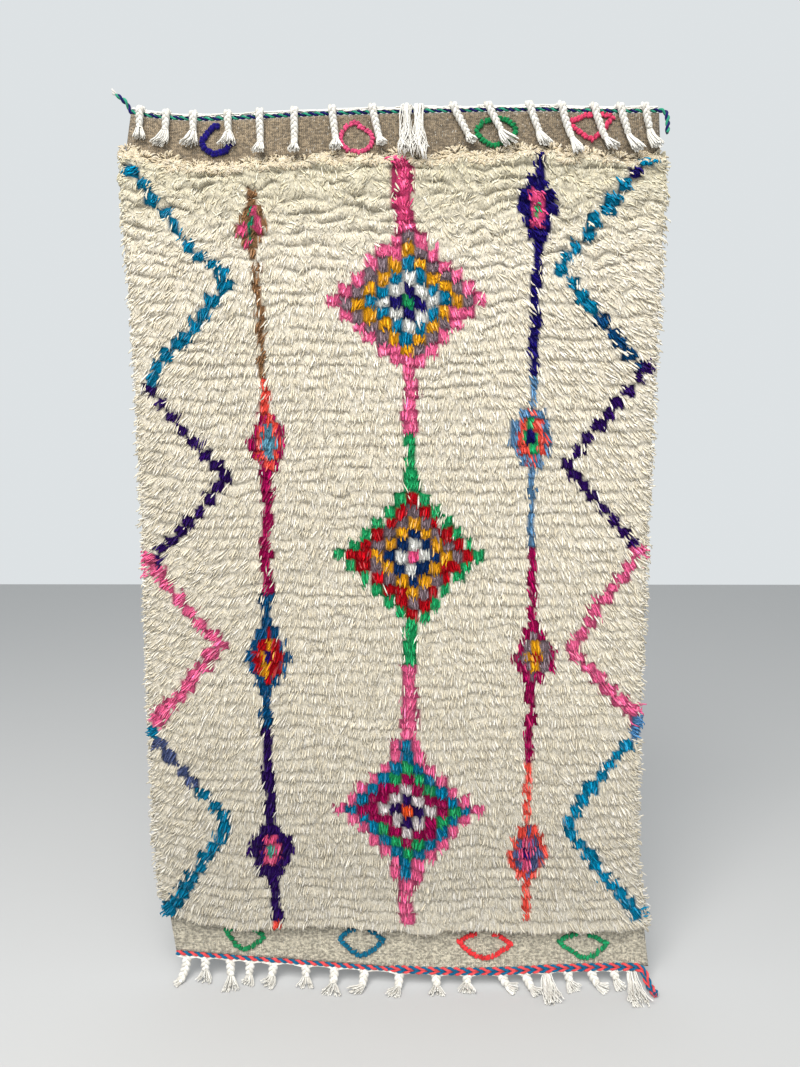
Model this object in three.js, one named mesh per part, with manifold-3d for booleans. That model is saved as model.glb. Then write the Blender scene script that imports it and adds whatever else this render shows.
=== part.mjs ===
// A hand-knotted wool pile rug with flat-woven ends, hanging face out.
// Millimetres, +Z up. The face looks towards -Y, the flat woven back lies in the
// plane Y = 0, and the origin is the middle of the top edge, where the rug is held.
// The foot of the rug stands off a little and its tassels lie on the surface at FLOOR_Z.
import * as THREE from "three";
import { mergeVertices } from "three/addons/utils/BufferGeometryUtils.js";
import Module from "manifold-3d";

// ---------------------------------------------------------------- driving sizes
const FLOOR_Z = -2013;        // the surface that the lower tassels lie on
const WEB = 5;                // thickness of the flat-woven ends
const PILE = 33;              // thickness of the piled field, ground and pile together
const PILE_SIDE = 19;         // how far the pile stands out past each selvedge
const END_TOP = 92;           // flat-woven band at the top, kilim edge to pile
const END_FOOT = 86;          // flat-woven band at the foot
const FOOT_FROM = -1767;      // below this the rug stands off its plane
const FOOT_RUN = 210;         // over this height
const CORD_TOP_R = 4.6;       // radius of the twined cord on the top edge
const CORD_FOOT_R = 5.4;      // radius of the plaited cord on the lower edge
const HEAD = 2.6;             // height of the strip of warps that the tassels grow from
const GAP = 0.6;              // between touching pieces
const TOP_HALF = { wide: 8.5, deep: 5.2 };   // half sizes of an upper tassel's plait
const FOOT_HALF = { wide: 9.5, deep: 5.5 };  // half sizes of a lower tassel's plait

// ---------------------------------------------------------------- the hanging outline
// Top edge of the woven ground: it sags between the points that hold it.
const TOP_EDGE = [
  { x: -600, z: 3 }, { x: -544, z: -8 }, { x: -434, z: -15 }, { x: -302, z: -10.5 },
  { x: -146, z: -4 }, { x: 5, z: 0 }, { x: 137, z: 2 }, { x: 313, z: 4 },
  { x: 444, z: 0 }, { x: 600, z: 1 },
];
// Lower edge of the woven ground.
const FOOT_EDGE = [
  { x: -560, z: -1939 }, { x: -434, z: -1945.5 }, { x: -239, z: -1954 }, { x: -68, z: -1962.5 },
  { x: 102, z: -1968.5 }, { x: 249, z: -1969 }, { x: 395, z: -1964.5 }, { x: 541, z: -1964 },
  { x: 620, z: -1969 },
];
// The two selvedges of the woven ground, down the rug (t is 0 at the top, 1 at the foot).
const SELVEDGES = [
  { t: 0.0, left: -586, right: 573 }, { t: 0.05, left: -600, right: 578 },
  { t: 0.25, left: -584, right: 569 }, { t: 0.5, left: -576, right: 561 },
  { t: 0.78, left: -573, right: 558 }, { t: 0.88, left: -568, right: 566 },
  { t: 0.95, left: -552, right: 592 }, { t: 1.0, left: -537, right: 602 },
];
// How far the lower edge stands off the plane of the back.
const FOOT_BOW = [
  { x: -560, off: 8 }, { x: -240, off: 26 }, { x: 100, off: 36 },
  { x: 400, off: 30 }, { x: 620, off: 22 },
];
// The upper cord past the right corner, from the corner: across, towards the front, and up.
const TOP_TURN = [
  { x: 9, fore: 1, z: -1 }, { x: 15, fore: 4, z: -8 }, { x: 17, fore: 7, z: -20 },
  { x: 17, fore: 10, z: -36 }, { x: 16, fore: 12, z: -52 },
];
// The tail of the lower cord leaves the edge a little before the right corner: across and towards the front from that corner, and height over the surface.
const FOOT_TURN = 579;
const FOOT_TAIL = [
  { x: -13, fore: 5, up: 34 }, { x: -8, fore: 15, up: 20 }, { x: -4, fore: 27, up: 9.5 }, { x: 1, fore: 48, up: 6.2 },
];
// Upper tassels: where each leaves the edge, how far its tip leans along X, and its drop.
const TASSELS_TOP = [
  { x: -563, lean: -4, drop: 62 }, { x: -506, lean: -5, drop: 68 }, { x: -447, lean: -1, drop: 66 },
  { x: -372, lean: 3, drop: 66 }, { x: -302, lean: 2, drop: 90 }, { x: -226, lean: 0, drop: 94 },
  { x: -144, lean: 12, drop: 90 }, { x: -56, lean: 20, drop: 82 }, { x: 20, lean: -6, drop: 112 },
  { x: 47, lean: -2, drop: 118 }, { x: 120, lean: 44, drop: 78 }, { x: 196, lean: 48, drop: 84 },
  { x: 286, lean: 36, drop: 88 }, { x: 356, lean: 36, drop: 108 }, { x: 427, lean: 38, drop: 96 },
  { x: 484, lean: 36, drop: 100 }, { x: 539, lean: 22, drop: 94 },
];
// Lower tassels: where each leaves the edge, where its tip lies along X, and how far out.
const TASSELS_FOOT = [
  { x: -511, tip: -534, out: 42 }, { x: -466, tip: -470, out: 30 }, { x: -405, tip: -396, out: 60 },
  { x: -357, tip: -363, out: 40 }, { x: -300, tip: -313, out: 48 }, { x: -221, tip: -222, out: 50 },
  { x: -152, tip: -158, out: 74 }, { x: -80, tip: -90, out: 72 }, { x: 4, tip: -3, out: 80 },
  { x: 92, tip: 93, out: 74 }, { x: 166, tip: 163, out: 66 }, { x: 248, tip: 280, out: 62 },
  { x: 306, tip: 330, out: 74 }, { x: 357, tip: 362, out: 96 }, { x: 408, tip: 420, out: 60 },
  { x: 464, tip: 494, out: 62 }, { x: 520, tip: 532, out: 54 }, { x: 562, tip: 566, out: 98 },
];

// A smooth value from a table with an increasing key column.
function along(table, key, column, at) {
  const n = table.length;
  if (at <= table[0][key]) return table[0][column];
  if (at >= table[n - 1][key]) return table[n - 1][column];
  let i = 0;
  while (table[i + 1][key] < at) i++;
  const a = table[i], b = table[i + 1];
  const slope = (p, q) => (q[column] - p[column]) / (q[key] - p[key]);
  const mid = slope(a, b);
  const m0 = i > 0 ? (slope(table[i - 1], a) + mid) / 2 : mid;
  const m1 = i < n - 2 ? (slope(b, table[i + 2]) + mid) / 2 : mid;
  const h = b[key] - a[key], t = (at - a[key]) / h;
  return (2 * t ** 3 - 3 * t ** 2 + 1) * a[column] + (t ** 3 - 2 * t ** 2 + t) * h * m0 +
    (-2 * t ** 3 + 3 * t ** 2) * b[column] + (t ** 3 - t ** 2) * h * m1;
}
const topZ = (x) => along(TOP_EDGE, "x", "z", x);
const footZ = (x) => along(FOOT_EDGE, "x", "z", x);
const left = (t) => along(SELVEDGES, "t", "left", t);
const right = (t) => along(SELVEDGES, "t", "right", t);
const heightAt = (x, t) => topZ(x) + (footZ(x) - topZ(x)) * t;
// Y of the woven back: flat, then standing off towards the foot.
function backY(x, z) {
  const s = Math.max(0, (FOOT_FROM - z) / FOOT_RUN);
  return -along(FOOT_BOW, "x", "off", x) * s * s;
}

const X_AXIS = new THREE.Vector3(1, 0, 0), Y_AXIS = new THREE.Vector3(0, 1, 0);

// ---------------------------------------------------------------- mesh helpers
function closedGeometry(positions, index) {
  const g = new THREE.BufferGeometry();
  g.setAttribute("position", new THREE.Float32BufferAttribute(positions, 3));
  g.setIndex(index);
  g.computeVertexNormals();
  return g;
}
// A closed body lofted through rings of points, all with the same count, each end closed by its own triangles.
function loft(rings, endTriangles) {
  const n = rings[0].length, positions = [], index = [];
  for (const ring of rings) for (const p of ring) positions.push(p.x, p.y, p.z);
  for (let r = 0; r < rings.length - 1; r++)
    for (let i = 0; i < n; i++) {
      const j = (i + 1) % n, a = r * n + i, b = r * n + j, c = a + n, d = b + n;
      index.push(a, c, b, b, c, d);
    }
  const last = (rings.length - 1) * n;
  for (const [a, b, c] of endTriangles) {
    index.push(a, b, c);
    index.push(last + a, last + c, last + b);
  }
  return closedGeometry(positions, index);
}
// A closed bar of rounded section along a line of points. side is the direction its width runs in.
function bar(points, halves, side, corners) {
  const rings = [];
  for (let i = 0; i < points.length; i++) {
    const before = points[Math.max(0, i - 1)], after = points[Math.min(points.length - 1, i + 1)];
    const t = after.clone().sub(before).normalize();
    const s = side.clone().addScaledVector(t, -side.dot(t)).normalize();
    const n = t.clone().cross(s).normalize();
    const { wide, deep } = Array.isArray(halves) ? halves[i] : halves;
    const ring = [];
    for (let k = 0; k < corners; k++) {
      const a = (2 * Math.PI * (k + 0.5)) / corners;
      ring.push(points[i].clone().addScaledVector(s, wide * Math.cos(a)).addScaledVector(n, deep * Math.sin(a)));
    }
    rings.push(ring);
  }
  const ends = [];
  for (let k = 1; k < corners - 1; k++) ends.push([0, k, k + 1]);
  return loft(rings, ends);
}

const wasm = await Module();
wasm.setup();
function solidOf(geometry) {
  const g = geometry.clone();
  g.deleteAttribute("normal");
  if (g.getAttribute("uv")) g.deleteAttribute("uv");
  const merged = mergeVertices(g, 1e-4);
  return new wasm.Manifold(new wasm.Mesh({
    numProp: 3, vertProperties: merged.attributes.position.array, triVerts: new Uint32Array(merged.index.array),
  }));
}
function outward(geometry) {
  const made = solidOf(geometry);
  if (made.volume() >= 0) return geometry;
  const i = geometry.index.array;
  for (let k = 0; k < i.length; k += 3) [i[k + 1], i[k + 2]] = [i[k + 2], i[k + 1]];
  geometry.computeVertexNormals();
  return geometry;
}
function joined(geometries) {
  const whole = wasm.Manifold.union(geometries.map((g) => solidOf(outward(g))));
  const m = whole.getMesh();
  return closedGeometry(Array.from(m.vertProperties), Array.from(m.triVerts));
}

// ---------------------------------------------------------------- the rug itself, one woven piece
// Rows down the rug. pile is how much of the pile's thickness the section has, in is the inset of its edge.
const ROWS = [
  { t: 0.0, pile: 0 }, { t: 0.024, pile: 0 }, { from: "top", z: 0, pile: 0 }, { from: "top", z: -1.5, pile: 0.45 },
  { from: "top", z: -9, pile: 0.85 }, { from: "top", z: -24, pile: 1 },
  { t: 0.14, pile: 1 }, { t: 0.22, pile: 0.97 }, { t: 0.3, pile: 1 }, { t: 0.38, pile: 0.95 }, { t: 0.46, pile: 0.98 },
  { t: 0.54, pile: 1 }, { t: 0.62, pile: 0.96 }, { t: 0.7, pile: 1 }, { t: 0.78, pile: 0.98 }, { t: 0.86, pile: 1 }, { t: 0.9, pile: 1 },
  { from: "foot", z: 22, pile: 1 }, { from: "foot", z: 7, pile: 0.9 }, { from: "foot", z: 1.5, pile: 0.6 },
  { from: "foot", z: 0, pile: 0 }, { t: 0.978, pile: 0 }, { t: 0.99, pile: 0 }, { t: 1.0, pile: 0 },
];
const STEPS = 20;         // facets across the rug, the same on the face, the back and both edges
// How the pile rounds over at a selvedge: share of PILE_SIDE out, and share of the thickness forward.
const EDGE_ROUND = [
  { out: 0.55, fore: 0.14 }, { out: 1.0, fore: 0.42 }, { out: 0.85, fore: 0.74 }, { out: 0.15, fore: 0.96 },
];

const across = (xl, xr) => Array.from({ length: STEPS + 1 }, (_, i) => xl + 8 + ((xr - xl - 16) * i) / STEPS);
function rugPoint(x, row) {
  const top = topZ(x), foot = footZ(x);
  if (row.from === "top") return top - END_TOP + row.z;
  if (row.from === "foot") return foot + END_FOOT + row.z;
  return top + (foot - top) * row.t;
}
function rugGeometry() {
  const rings = ROWS.map((row) => {
    const t = row.from ? (rugPoint(0, row) - topZ(0)) / (footZ(0) - topZ(0)) : row.t;
    const xl = left(t), xr = right(t), full = WEB + (PILE - WEB) * row.pile, out = PILE_SIDE * Math.sqrt(row.pile);
    const at = (x, fore) => {
      const z = rugPoint(Math.min(Math.max(x, xl), xr), row);
      return new THREE.Vector3(x, backY(x, z) - fore, z);
    };
    const ring = [at(xl, 0)];
    for (const e of EDGE_ROUND) ring.push(at(xl - out * e.out, full * (row.pile ? e.fore : 0.2 + 0.6 * e.fore)));
    for (const x of across(xl, xr)) ring.push(at(x, full));
    for (const e of [...EDGE_ROUND].reverse()) ring.push(at(xr + out * e.out, full * (row.pile ? e.fore : 0.2 + 0.6 * e.fore)));
    ring.push(at(xr, 0));
    for (const x of across(xl, xr).reverse()) ring.push(at(x, 0));
    return ring;
  });
  // Each end edge is closed straight across from the face to the back, so that it keeps its sag.
  const count = rings[0].length, face = 1 + EDGE_ROUND.length, ends = [];
  const onFace = (i) => face + i, onBack = (i) => count - 1 - i;
  for (let i = 0; i < STEPS; i++)
    ends.push([onFace(i), onFace(i + 1), onBack(i + 1)], [onFace(i), onBack(i + 1), onBack(i)]);
  for (let k = 0; k < face; k++) ends.push([onBack(0), k, k + 1]);
  for (let k = onFace(STEPS) + 1; k < onBack(STEPS); k++) ends.push([onFace(STEPS), k, k + 1]);
  return loft(rings, ends);
}

// ---------------------------------------------------------------- the cords sewn round the ends
const CORD_TOP_Y = -WEB / 2 - 1.2;
const cordTopZ = (x) => topZ(x) + CORD_TOP_R + GAP;
const topStations = [left(0), ...across(left(0), right(0)), right(0)];
const round = (radius) => ({ wide: radius, deep: radius });
function cordTop() {
  const pts = [new THREE.Vector3(-614, -14, 37), new THREE.Vector3(-603, -12, 29), new THREE.Vector3(-592, -8, 19)];
  for (const x of topStations) pts.push(new THREE.Vector3(x, CORD_TOP_Y, cordTopZ(x)));
  // It turns the corner and runs down in front of the right selvedge.
  const { x: xc, z: zc } = pts[pts.length - 1];
  for (const q of TOP_TURN) pts.push(new THREE.Vector3(xc + q.x, CORD_TOP_Y - q.fore, zc + q.z));
  return bar(pts, round(CORD_TOP_R), Y_AXIS, 8);
}
const cordFootZ = (x) => footZ(x) - CORD_FOOT_R - GAP;
const cordFootY = (x) => backY(x, footZ(x)) - WEB / 2;
const footStations = [left(1), ...across(left(1), right(1)), right(1)];
function cordFoot() {
  const pts = [];
  for (const x of [...footStations.filter((x) => x < FOOT_TURN - 14), FOOT_TURN - 3]) pts.push(new THREE.Vector3(x, cordFootY(x), cordFootZ(x)));
  // Its tail runs on and down to the surface.
  const xc = right(1), yc = cordFootY(xc);
  for (const q of FOOT_TAIL) pts.push(new THREE.Vector3(xc + q.x, yc - q.fore, FLOOR_Z + q.up));
  return bar(pts, round(CORD_FOOT_R), Y_AXIS, 8);
}

// ---------------------------------------------------------------- the two fringes, each one comb
// Width of a tassel along its length: gathered root, plait, knot and loose brush.
const SHAPE = [
  { s: 0.0, wide: 1.15, deep: 0.55 }, { s: 0.14, wide: 0.95, deep: 0.95 }, { s: 0.45, wide: 1.0, deep: 1.0 },
  { s: 0.7, wide: 0.92, deep: 0.92 }, { s: 0.86, wide: 1.25, deep: 1.0 }, { s: 1.0, wide: 1.35, deep: 0.8 },
];
function tassel(points, half) {
  const lengths = [0];
  for (let i = 1; i < points.length; i++) lengths.push(lengths[i - 1] + points[i].distanceTo(points[i - 1]));
  const halves = lengths.map((l) => {
    const s = l / lengths[lengths.length - 1];
    return { wide: half.wide * along(SHAPE, "s", "wide", s), deep: half.deep * along(SHAPE, "s", "deep", s) };
  });
  return bar(points, halves, X_AXIS, 6);
}
function headStrip(zOf, yOf, stations) {
  const pts = stations.map((x) => new THREE.Vector3(x, yOf(x), zOf(x)));
  return bar(pts, { wide: 2.4 * Math.SQRT2, deep: (HEAD / 2) * Math.SQRT2 }, Y_AXIS, 4);
}
function fringeTop() {
  const zs = (x) => cordTopZ(x) + CORD_TOP_R + GAP + HEAD / 2;
  const parts = [headStrip(zs, () => -2.6, topStations.slice(1, -1))];
  const front = CORD_TOP_Y - CORD_TOP_R - GAP - TOP_HALF.deep;
  for (const q of TASSELS_TOP) {
    const z0 = zs(q.x), down = q.drop, pts = [
      new THREE.Vector3(q.x, -1.2, z0 + 2.2),
      new THREE.Vector3(q.x + q.lean * 0.02, -6.6, z0 + 4.6),
      new THREE.Vector3(q.x + q.lean * 0.06, front - 0.6, z0 - 1),
    ];
    for (const s of [0.2, 0.42, 0.64, 0.84, 1])
      pts.push(new THREE.Vector3(q.x + q.lean * s, front - 0.6, z0 - down * s));
    // Where a tip comes down on the pile it lies on it.
    const pileFrom = topZ(q.x) - END_TOP + 12;
    for (const p of pts) if (p.z < pileFrom) p.y = Math.min(p.y, -PILE - TOP_HALF.deep * 1.1);
      else if (p.z < pileFrom + 26) p.y = Math.min(p.y, front - 14 * (1 - (p.z - pileFrom) / 26) - 4);
    parts.push(tassel(pts, TOP_HALF));
  }
  return joined(parts);
}
function fringeFoot() {
  const zs = (x) => cordFootZ(x) - CORD_FOOT_R - GAP - HEAD / 2;
  const parts = [headStrip(zs, (x) => cordFootY(x), [...footStations.filter((x) => x < FOOT_TURN - 14), FOOT_TURN - 6])];
  const lie = FLOOR_Z + FOOT_HALF.deep + 0.6;
  for (const q of TASSELS_FOOT) {
    const z0 = zs(q.x), y0 = cordFootY(q.x), fall = z0 - lie, reach = -q.out - y0, pts = [
      new THREE.Vector3(q.x, y0, z0 - 0.6),
      new THREE.Vector3(q.x, y0, z0 - 2.6),
      new THREE.Vector3(q.x + (q.tip - q.x) * 0.08, y0 + reach * 0.08, z0 - Math.max(4.5, fall * 0.3)),
      new THREE.Vector3(q.x + (q.tip - q.x) * 0.3, y0 + reach * 0.28, z0 - fall * 0.72),
      new THREE.Vector3(q.x + (q.tip - q.x) * 0.6, y0 + reach * 0.6, lie + 1.2),
      new THREE.Vector3(q.tip, y0 + reach, lie),
    ];
    parts.push(tassel(pts, FOOT_HALF));
  }
  return joined(parts);
}

// ---------------------------------------------------------------- the scene graph
const wool = (color, roughness = 0.95) => new THREE.MeshStandardMaterial({ color, roughness, metalness: 0 });
const group = new THREE.Group();
group.name = "pile_rug";
function add(name, geometry, material) {
  const mesh = new THREE.Mesh(geometry, material);
  mesh.name = name;
  group.add(mesh);
}
add("rug_body", outward(rugGeometry()), wool(0xe4dcc3));
add("cord_top", outward(cordTop()), wool(0x1f6f66));
add("cord_foot", outward(cordFoot()), wool(0xc8404c));
add("fringe_top", fringeTop(), wool(0xf0ece2));
add("fringe_foot", fringeFoot(), wool(0xeeeae2));

export default group;
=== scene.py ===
import math

import bpy
import numpy as np
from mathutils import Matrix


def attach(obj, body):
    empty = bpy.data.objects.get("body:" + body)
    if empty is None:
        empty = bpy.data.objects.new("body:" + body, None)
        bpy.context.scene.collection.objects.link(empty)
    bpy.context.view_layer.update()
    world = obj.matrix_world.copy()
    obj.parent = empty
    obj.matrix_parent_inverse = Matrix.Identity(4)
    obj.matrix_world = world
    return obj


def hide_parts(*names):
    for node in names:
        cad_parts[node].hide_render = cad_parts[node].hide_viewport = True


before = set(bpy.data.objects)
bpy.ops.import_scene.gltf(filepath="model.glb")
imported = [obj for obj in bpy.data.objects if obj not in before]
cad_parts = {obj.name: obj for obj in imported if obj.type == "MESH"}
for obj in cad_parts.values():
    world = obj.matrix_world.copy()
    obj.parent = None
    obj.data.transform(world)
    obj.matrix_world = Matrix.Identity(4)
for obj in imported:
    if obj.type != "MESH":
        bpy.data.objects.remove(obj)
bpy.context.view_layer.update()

# Sizes in millimetres, as in the construction: +Z up, the face looks to -Y, the flat back is Y = 0.
MM = 0.001
FLOOR_Z = -2013.0
WEB = 5.0
PILE_SIDE = 19.0
END_TOP, END_FOOT = 92.0, 86.0
FOOT_FROM, FOOT_RUN = -1767.0, 210.0
CORD_TOP_R, CORD_FOOT_R, HEAD, GAP = 4.6, 5.4, 2.6, 0.6

TOP_EDGE = dict(
    x=[-600, -544, -434, -302, -146, 5, 137, 313, 444, 600],
    z=[3, -8, -15, -10.5, -4, 0, 2, 4, 0, 1],
)
FOOT_EDGE = dict(
    x=[-560, -434, -239, -68, 102, 249, 395, 541, 620],
    z=[-1939, -1945.5, -1954, -1962.5, -1968.5, -1969, -1964.5, -1964, -1969],
)
SELVEDGES = dict(
    t=[0.0, 0.05, 0.25, 0.5, 0.78, 0.88, 0.95, 1.0],
    left=[-586, -600, -584, -576, -573, -568, -552, -537],
    right=[573, 578, 569, 561, 558, 566, 592, 602],
)
FOOT_BOW = dict(x=[-560, -240, 100, 400, 620], off=[8, 26, 36, 30, 22])
# Where the lowest tips of the pile end.
PILE_FOOT = dict(
    x=[-560, -535, -471, -426, -262, -121, -2, 46, 124, 196, 291, 386, 481, 576, 610],
    z=[-1838, -1845, -1860, -1867, -1871, -1873, -1879, -1885, -1883, -1876, -1877, -1879, -1880, -1872, -1868],
)


def along(table, key, column, at):
    """A smooth value from a table with an increasing key column."""
    k, v = np.asarray(table[key], float), np.asarray(table[column], float)
    at = np.clip(np.asarray(at, float), k[0], k[-1])
    slope = np.diff(v) / np.diff(k)
    m = np.concatenate([slope[:1], (slope[1:] + slope[:-1]) / 2, slope[-1:]])
    i = np.clip(np.searchsorted(k, at, side="right") - 1, 0, len(k) - 2)
    h = k[i + 1] - k[i]
    t = (at - k[i]) / h
    return (
        (2 * t**3 - 3 * t**2 + 1) * v[i]
        + (t**3 - 2 * t**2 + t) * h * m[i]
        + (-2 * t**3 + 3 * t**2) * v[i + 1]
        + (t**3 - t**2) * h * m[i + 1]
    )


def top_z(x):
    return along(TOP_EDGE, "x", "z", x)


def foot_z(x):
    return along(FOOT_EDGE, "x", "z", x)


def left_x(t):
    return along(SELVEDGES, "t", "left", t)


def right_x(t):
    return along(SELVEDGES, "t", "right", t)


def back_y(x, z):
    s = np.maximum(0, (FOOT_FROM - np.asarray(z, float)) / FOOT_RUN)
    return -along(FOOT_BOW, "x", "off", x) * s * s


def share_down(x, z):
    return (top_z(x) - z) / (top_z(x) - foot_z(x))


# ---------------------------------------------------------------- helpers
def linear(rgb):
    c = np.asarray(rgb, float) / 255.0
    return np.where(c <= 0.04045, c / 12.92, ((c + 0.055) / 1.055) ** 2.4)


def noise(x, y, seed):
    """Smooth noise from -1 to 1 with a cell of 1."""
    x, y = np.broadcast_arrays(np.asarray(x, float), np.asarray(y, float))
    grid = np.random.default_rng(seed).uniform(-1, 1, (64, 64))
    i, j = np.floor(x).astype(int), np.floor(y).astype(int)
    fx, fy = x - i, y - j
    fx, fy = fx * fx * (3 - 2 * fx), fy * fy * (3 - 2 * fy)
    g = lambda a, b: grid[a % 64, b % 64]
    return (g(i, j) * (1 - fx) + g(i + 1, j) * fx) * (1 - fy) + (
        g(i, j + 1) * (1 - fx) + g(i + 1, j + 1) * fx
    ) * fy


def unit(v):
    return v / np.maximum(np.linalg.norm(v, axis=-1, keepdims=True), 1e-12)


def smooth_step(a, b, x):
    t = np.clip((np.asarray(x, float) - a) / (b - a), 0, 1)
    return t * t * (3 - 2 * t)


def resampled(points, count):
    """Evenly spaced points on a smooth curve through the given ones."""
    p = np.asarray(points, float)
    d = np.sqrt(np.maximum(np.linalg.norm(np.diff(p, axis=0), axis=1), 1e-9))
    k = np.concatenate([[0], np.cumsum(d)])
    fine = np.linspace(0, k[-1], 400)
    q = np.stack([along(dict(k=k, v=p[:, a]), "k", "v", fine) for a in range(3)], 1)
    s = np.concatenate([[0], np.cumsum(np.linalg.norm(np.diff(q, axis=0), axis=1))])
    at = np.linspace(0, s[-1], count)
    return np.stack([np.interp(at, s, q[:, a]) for a in range(3)], 1), s[-1]


def frames(path, side):
    """Unit tangent and two unit normals at each point of each path. path is (n, m, 3)."""
    t = np.empty_like(path)
    t[:, 1:-1] = path[:, 2:] - path[:, :-2]
    t[:, 0], t[:, -1] = path[:, 1] - path[:, 0], path[:, -1] - path[:, -2]
    t = unit(t)
    s = np.broadcast_to(np.asarray(side, float), (len(path), 3)).copy()
    out = np.empty_like(path)
    for r in range(path.shape[1]):
        s = unit(s - (s * t[:, r]).sum(-1, keepdims=True) * t[:, r])
        out[:, r] = s
    return t, out, np.cross(t, out)


class Yarns:
    """Collects tubes, then makes one mesh of them, with a colour at each vertex and a place of its own on the map for each tube."""

    def __init__(self):
        self.v, self.c, self.loops, self.starts, self.cells, self.base = [], [], [], [], [], 0

    def add(self, path, radius, colour, sides=4, side=(1, 0, 0), flat=1.0):
        """path (n, m, 3) in mm, radius (n, m) in mm, colour (n, m, 3) in linear light."""
        path = np.asarray(path, float)
        n, m = path.shape[:2]
        radius = np.broadcast_to(radius, (n, m))
        colour = np.broadcast_to(colour, (n, m, 3))
        t, s, b = frames(path, side)
        a = 2 * np.pi * (np.arange(sides) + 0.5) / sides
        ring = (
            path[:, :, None]
            + radius[:, :, None, None] * np.cos(a)[None, None, :, None] * s[:, :, None]
            + radius[:, :, None, None] * flat * np.sin(a)[None, None, :, None] * b[:, :, None]
        )
        first = self.base + np.arange(n)[:, None, None] * m * sides
        r, k = np.arange(m - 1)[None, :, None], np.arange(sides)[None, None, :]
        k2 = (k + 1) % sides
        quads = np.stack(
            [first + r * sides + k, first + r * sides + k2, first + (r + 1) * sides + k2, first + (r + 1) * sides + k], -1
        ).reshape(n, -1)
        root = first[:, 0] + np.arange(sides)[::-1][None]
        tip = first[:, 0] + (m - 1) * sides + np.arange(sides)[None]
        each = np.concatenate([quads, root, tip], 1)
        self.v.append(ring.reshape(-1, 3))
        self.c.append(np.repeat(colour.reshape(-1, 3), sides, 0))
        self.loops.append(each.ravel())
        sizes = np.concatenate([np.full((m - 1) * sides, 4), [sides, sides]])
        starts = np.concatenate([[0], np.cumsum(sizes)[:-1]])
        self.starts.append((starts[None] + np.arange(n)[:, None] * sizes.sum(), sizes.sum() * n))
        # The place of each corner in its tube's own cell: round the tube across, along it up.
        u = np.stack([k + 0 * r, k + 1 + 0 * r, k + 1 + 0 * r, k + 0 * r], -1) / sides
        v = np.stack([r + 0 * k, r + 0 * k, r + 1 + 0 * k, r + 1 + 0 * k], -1) / (m - 1)
        turn = 2 * np.pi * np.arange(sides) / sides
        cap = 0.04 * np.stack([np.cos(turn), np.sin(turn)], -1)
        body = np.stack([0.04 + 0.92 * u, 0.12 + 0.76 * v], -1).reshape(-1, 2)
        self.cells.append((np.concatenate([body, cap + (0.5, 0.05), cap + (0.5, 0.95)]), n))
        self.base += n * m * sides

    def mesh(self, name, material, map_name="OFBake"):
        co = np.concatenate(self.v) * MM
        colour = np.concatenate(self.c)
        loops = np.concatenate(self.loops).astype(np.int32)
        at, starts = 0, []
        for s, total in self.starts:
            starts.append((s + at).ravel())
            at += total
        starts = np.concatenate(starts).astype(np.int32)
        me = bpy.data.meshes.new(name)
        me.vertices.add(len(co))
        me.vertices.foreach_set("co", co.astype(np.float32).ravel())
        me.loops.add(len(loops))
        me.loops.foreach_set("vertex_index", loops)
        me.polygons.add(len(starts))
        me.polygons.foreach_set("loop_start", starts)
        me.polygons.foreach_set("use_smooth", np.ones(len(starts), bool))
        me.update(calc_edges=True)
        tubes = sum(n for _, n in self.cells)
        across = int(math.ceil(math.sqrt(tubes)))
        uv, number = [], 0
        for cell, n in self.cells:
            q = number + np.arange(n)
            corner = np.stack([q % across, q // across], -1)[:, None]
            uv.append(((corner + cell[None]) / across).reshape(-1, 2))
            number += n
        layer = me.uv_layers.new(name=map_name)
        layer.uv.foreach_set("vector", np.concatenate(uv).astype(np.float32).ravel())
        paint_points(me, colour)
        me.materials.append(material)
        ob = bpy.data.objects.new(name, me)
        bpy.context.scene.collection.objects.link(ob)
        return ob


TONE = 0.8


def paint_points(me, colour):
    colour = colour * TONE
    tint = me.color_attributes.new("tint", "FLOAT_COLOR", "POINT")
    rgba = np.concatenate([np.clip(colour, 0, 1), np.ones((len(colour), 1))], 1)
    tint.data.foreach_set("color", rgba.astype(np.float32).ravel())


# ---------------------------------------------------------------- materials
def new_material(name):
    mat = bpy.data.materials.new(name)
    mat.use_nodes = True
    nt = mat.node_tree
    return mat, nt, nt.nodes["Principled BSDF"]


def node(nt, kind, **values):
    n = nt.nodes.new(kind)
    for key, value in values.items():
        if key.startswith("_"):
            n.inputs[key[1:].replace("_", " ")].default_value = value
        else:
            setattr(n, key, value)
    return n


def mixed(nt, kind, fac, a, b):
    m = nt.nodes.new("ShaderNodeMix")
    m.data_type, m.blend_type = "RGBA", kind
    m.inputs[0].default_value = 1.0
    for socket, value in ((m.inputs[0], fac), (m.inputs[6], a), (m.inputs[7], b)):
        if isinstance(value, bpy.types.NodeSocket):
            nt.links.new(value, socket)
        elif value is not None:
            socket.default_value = value
    return m.outputs[2]


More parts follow.
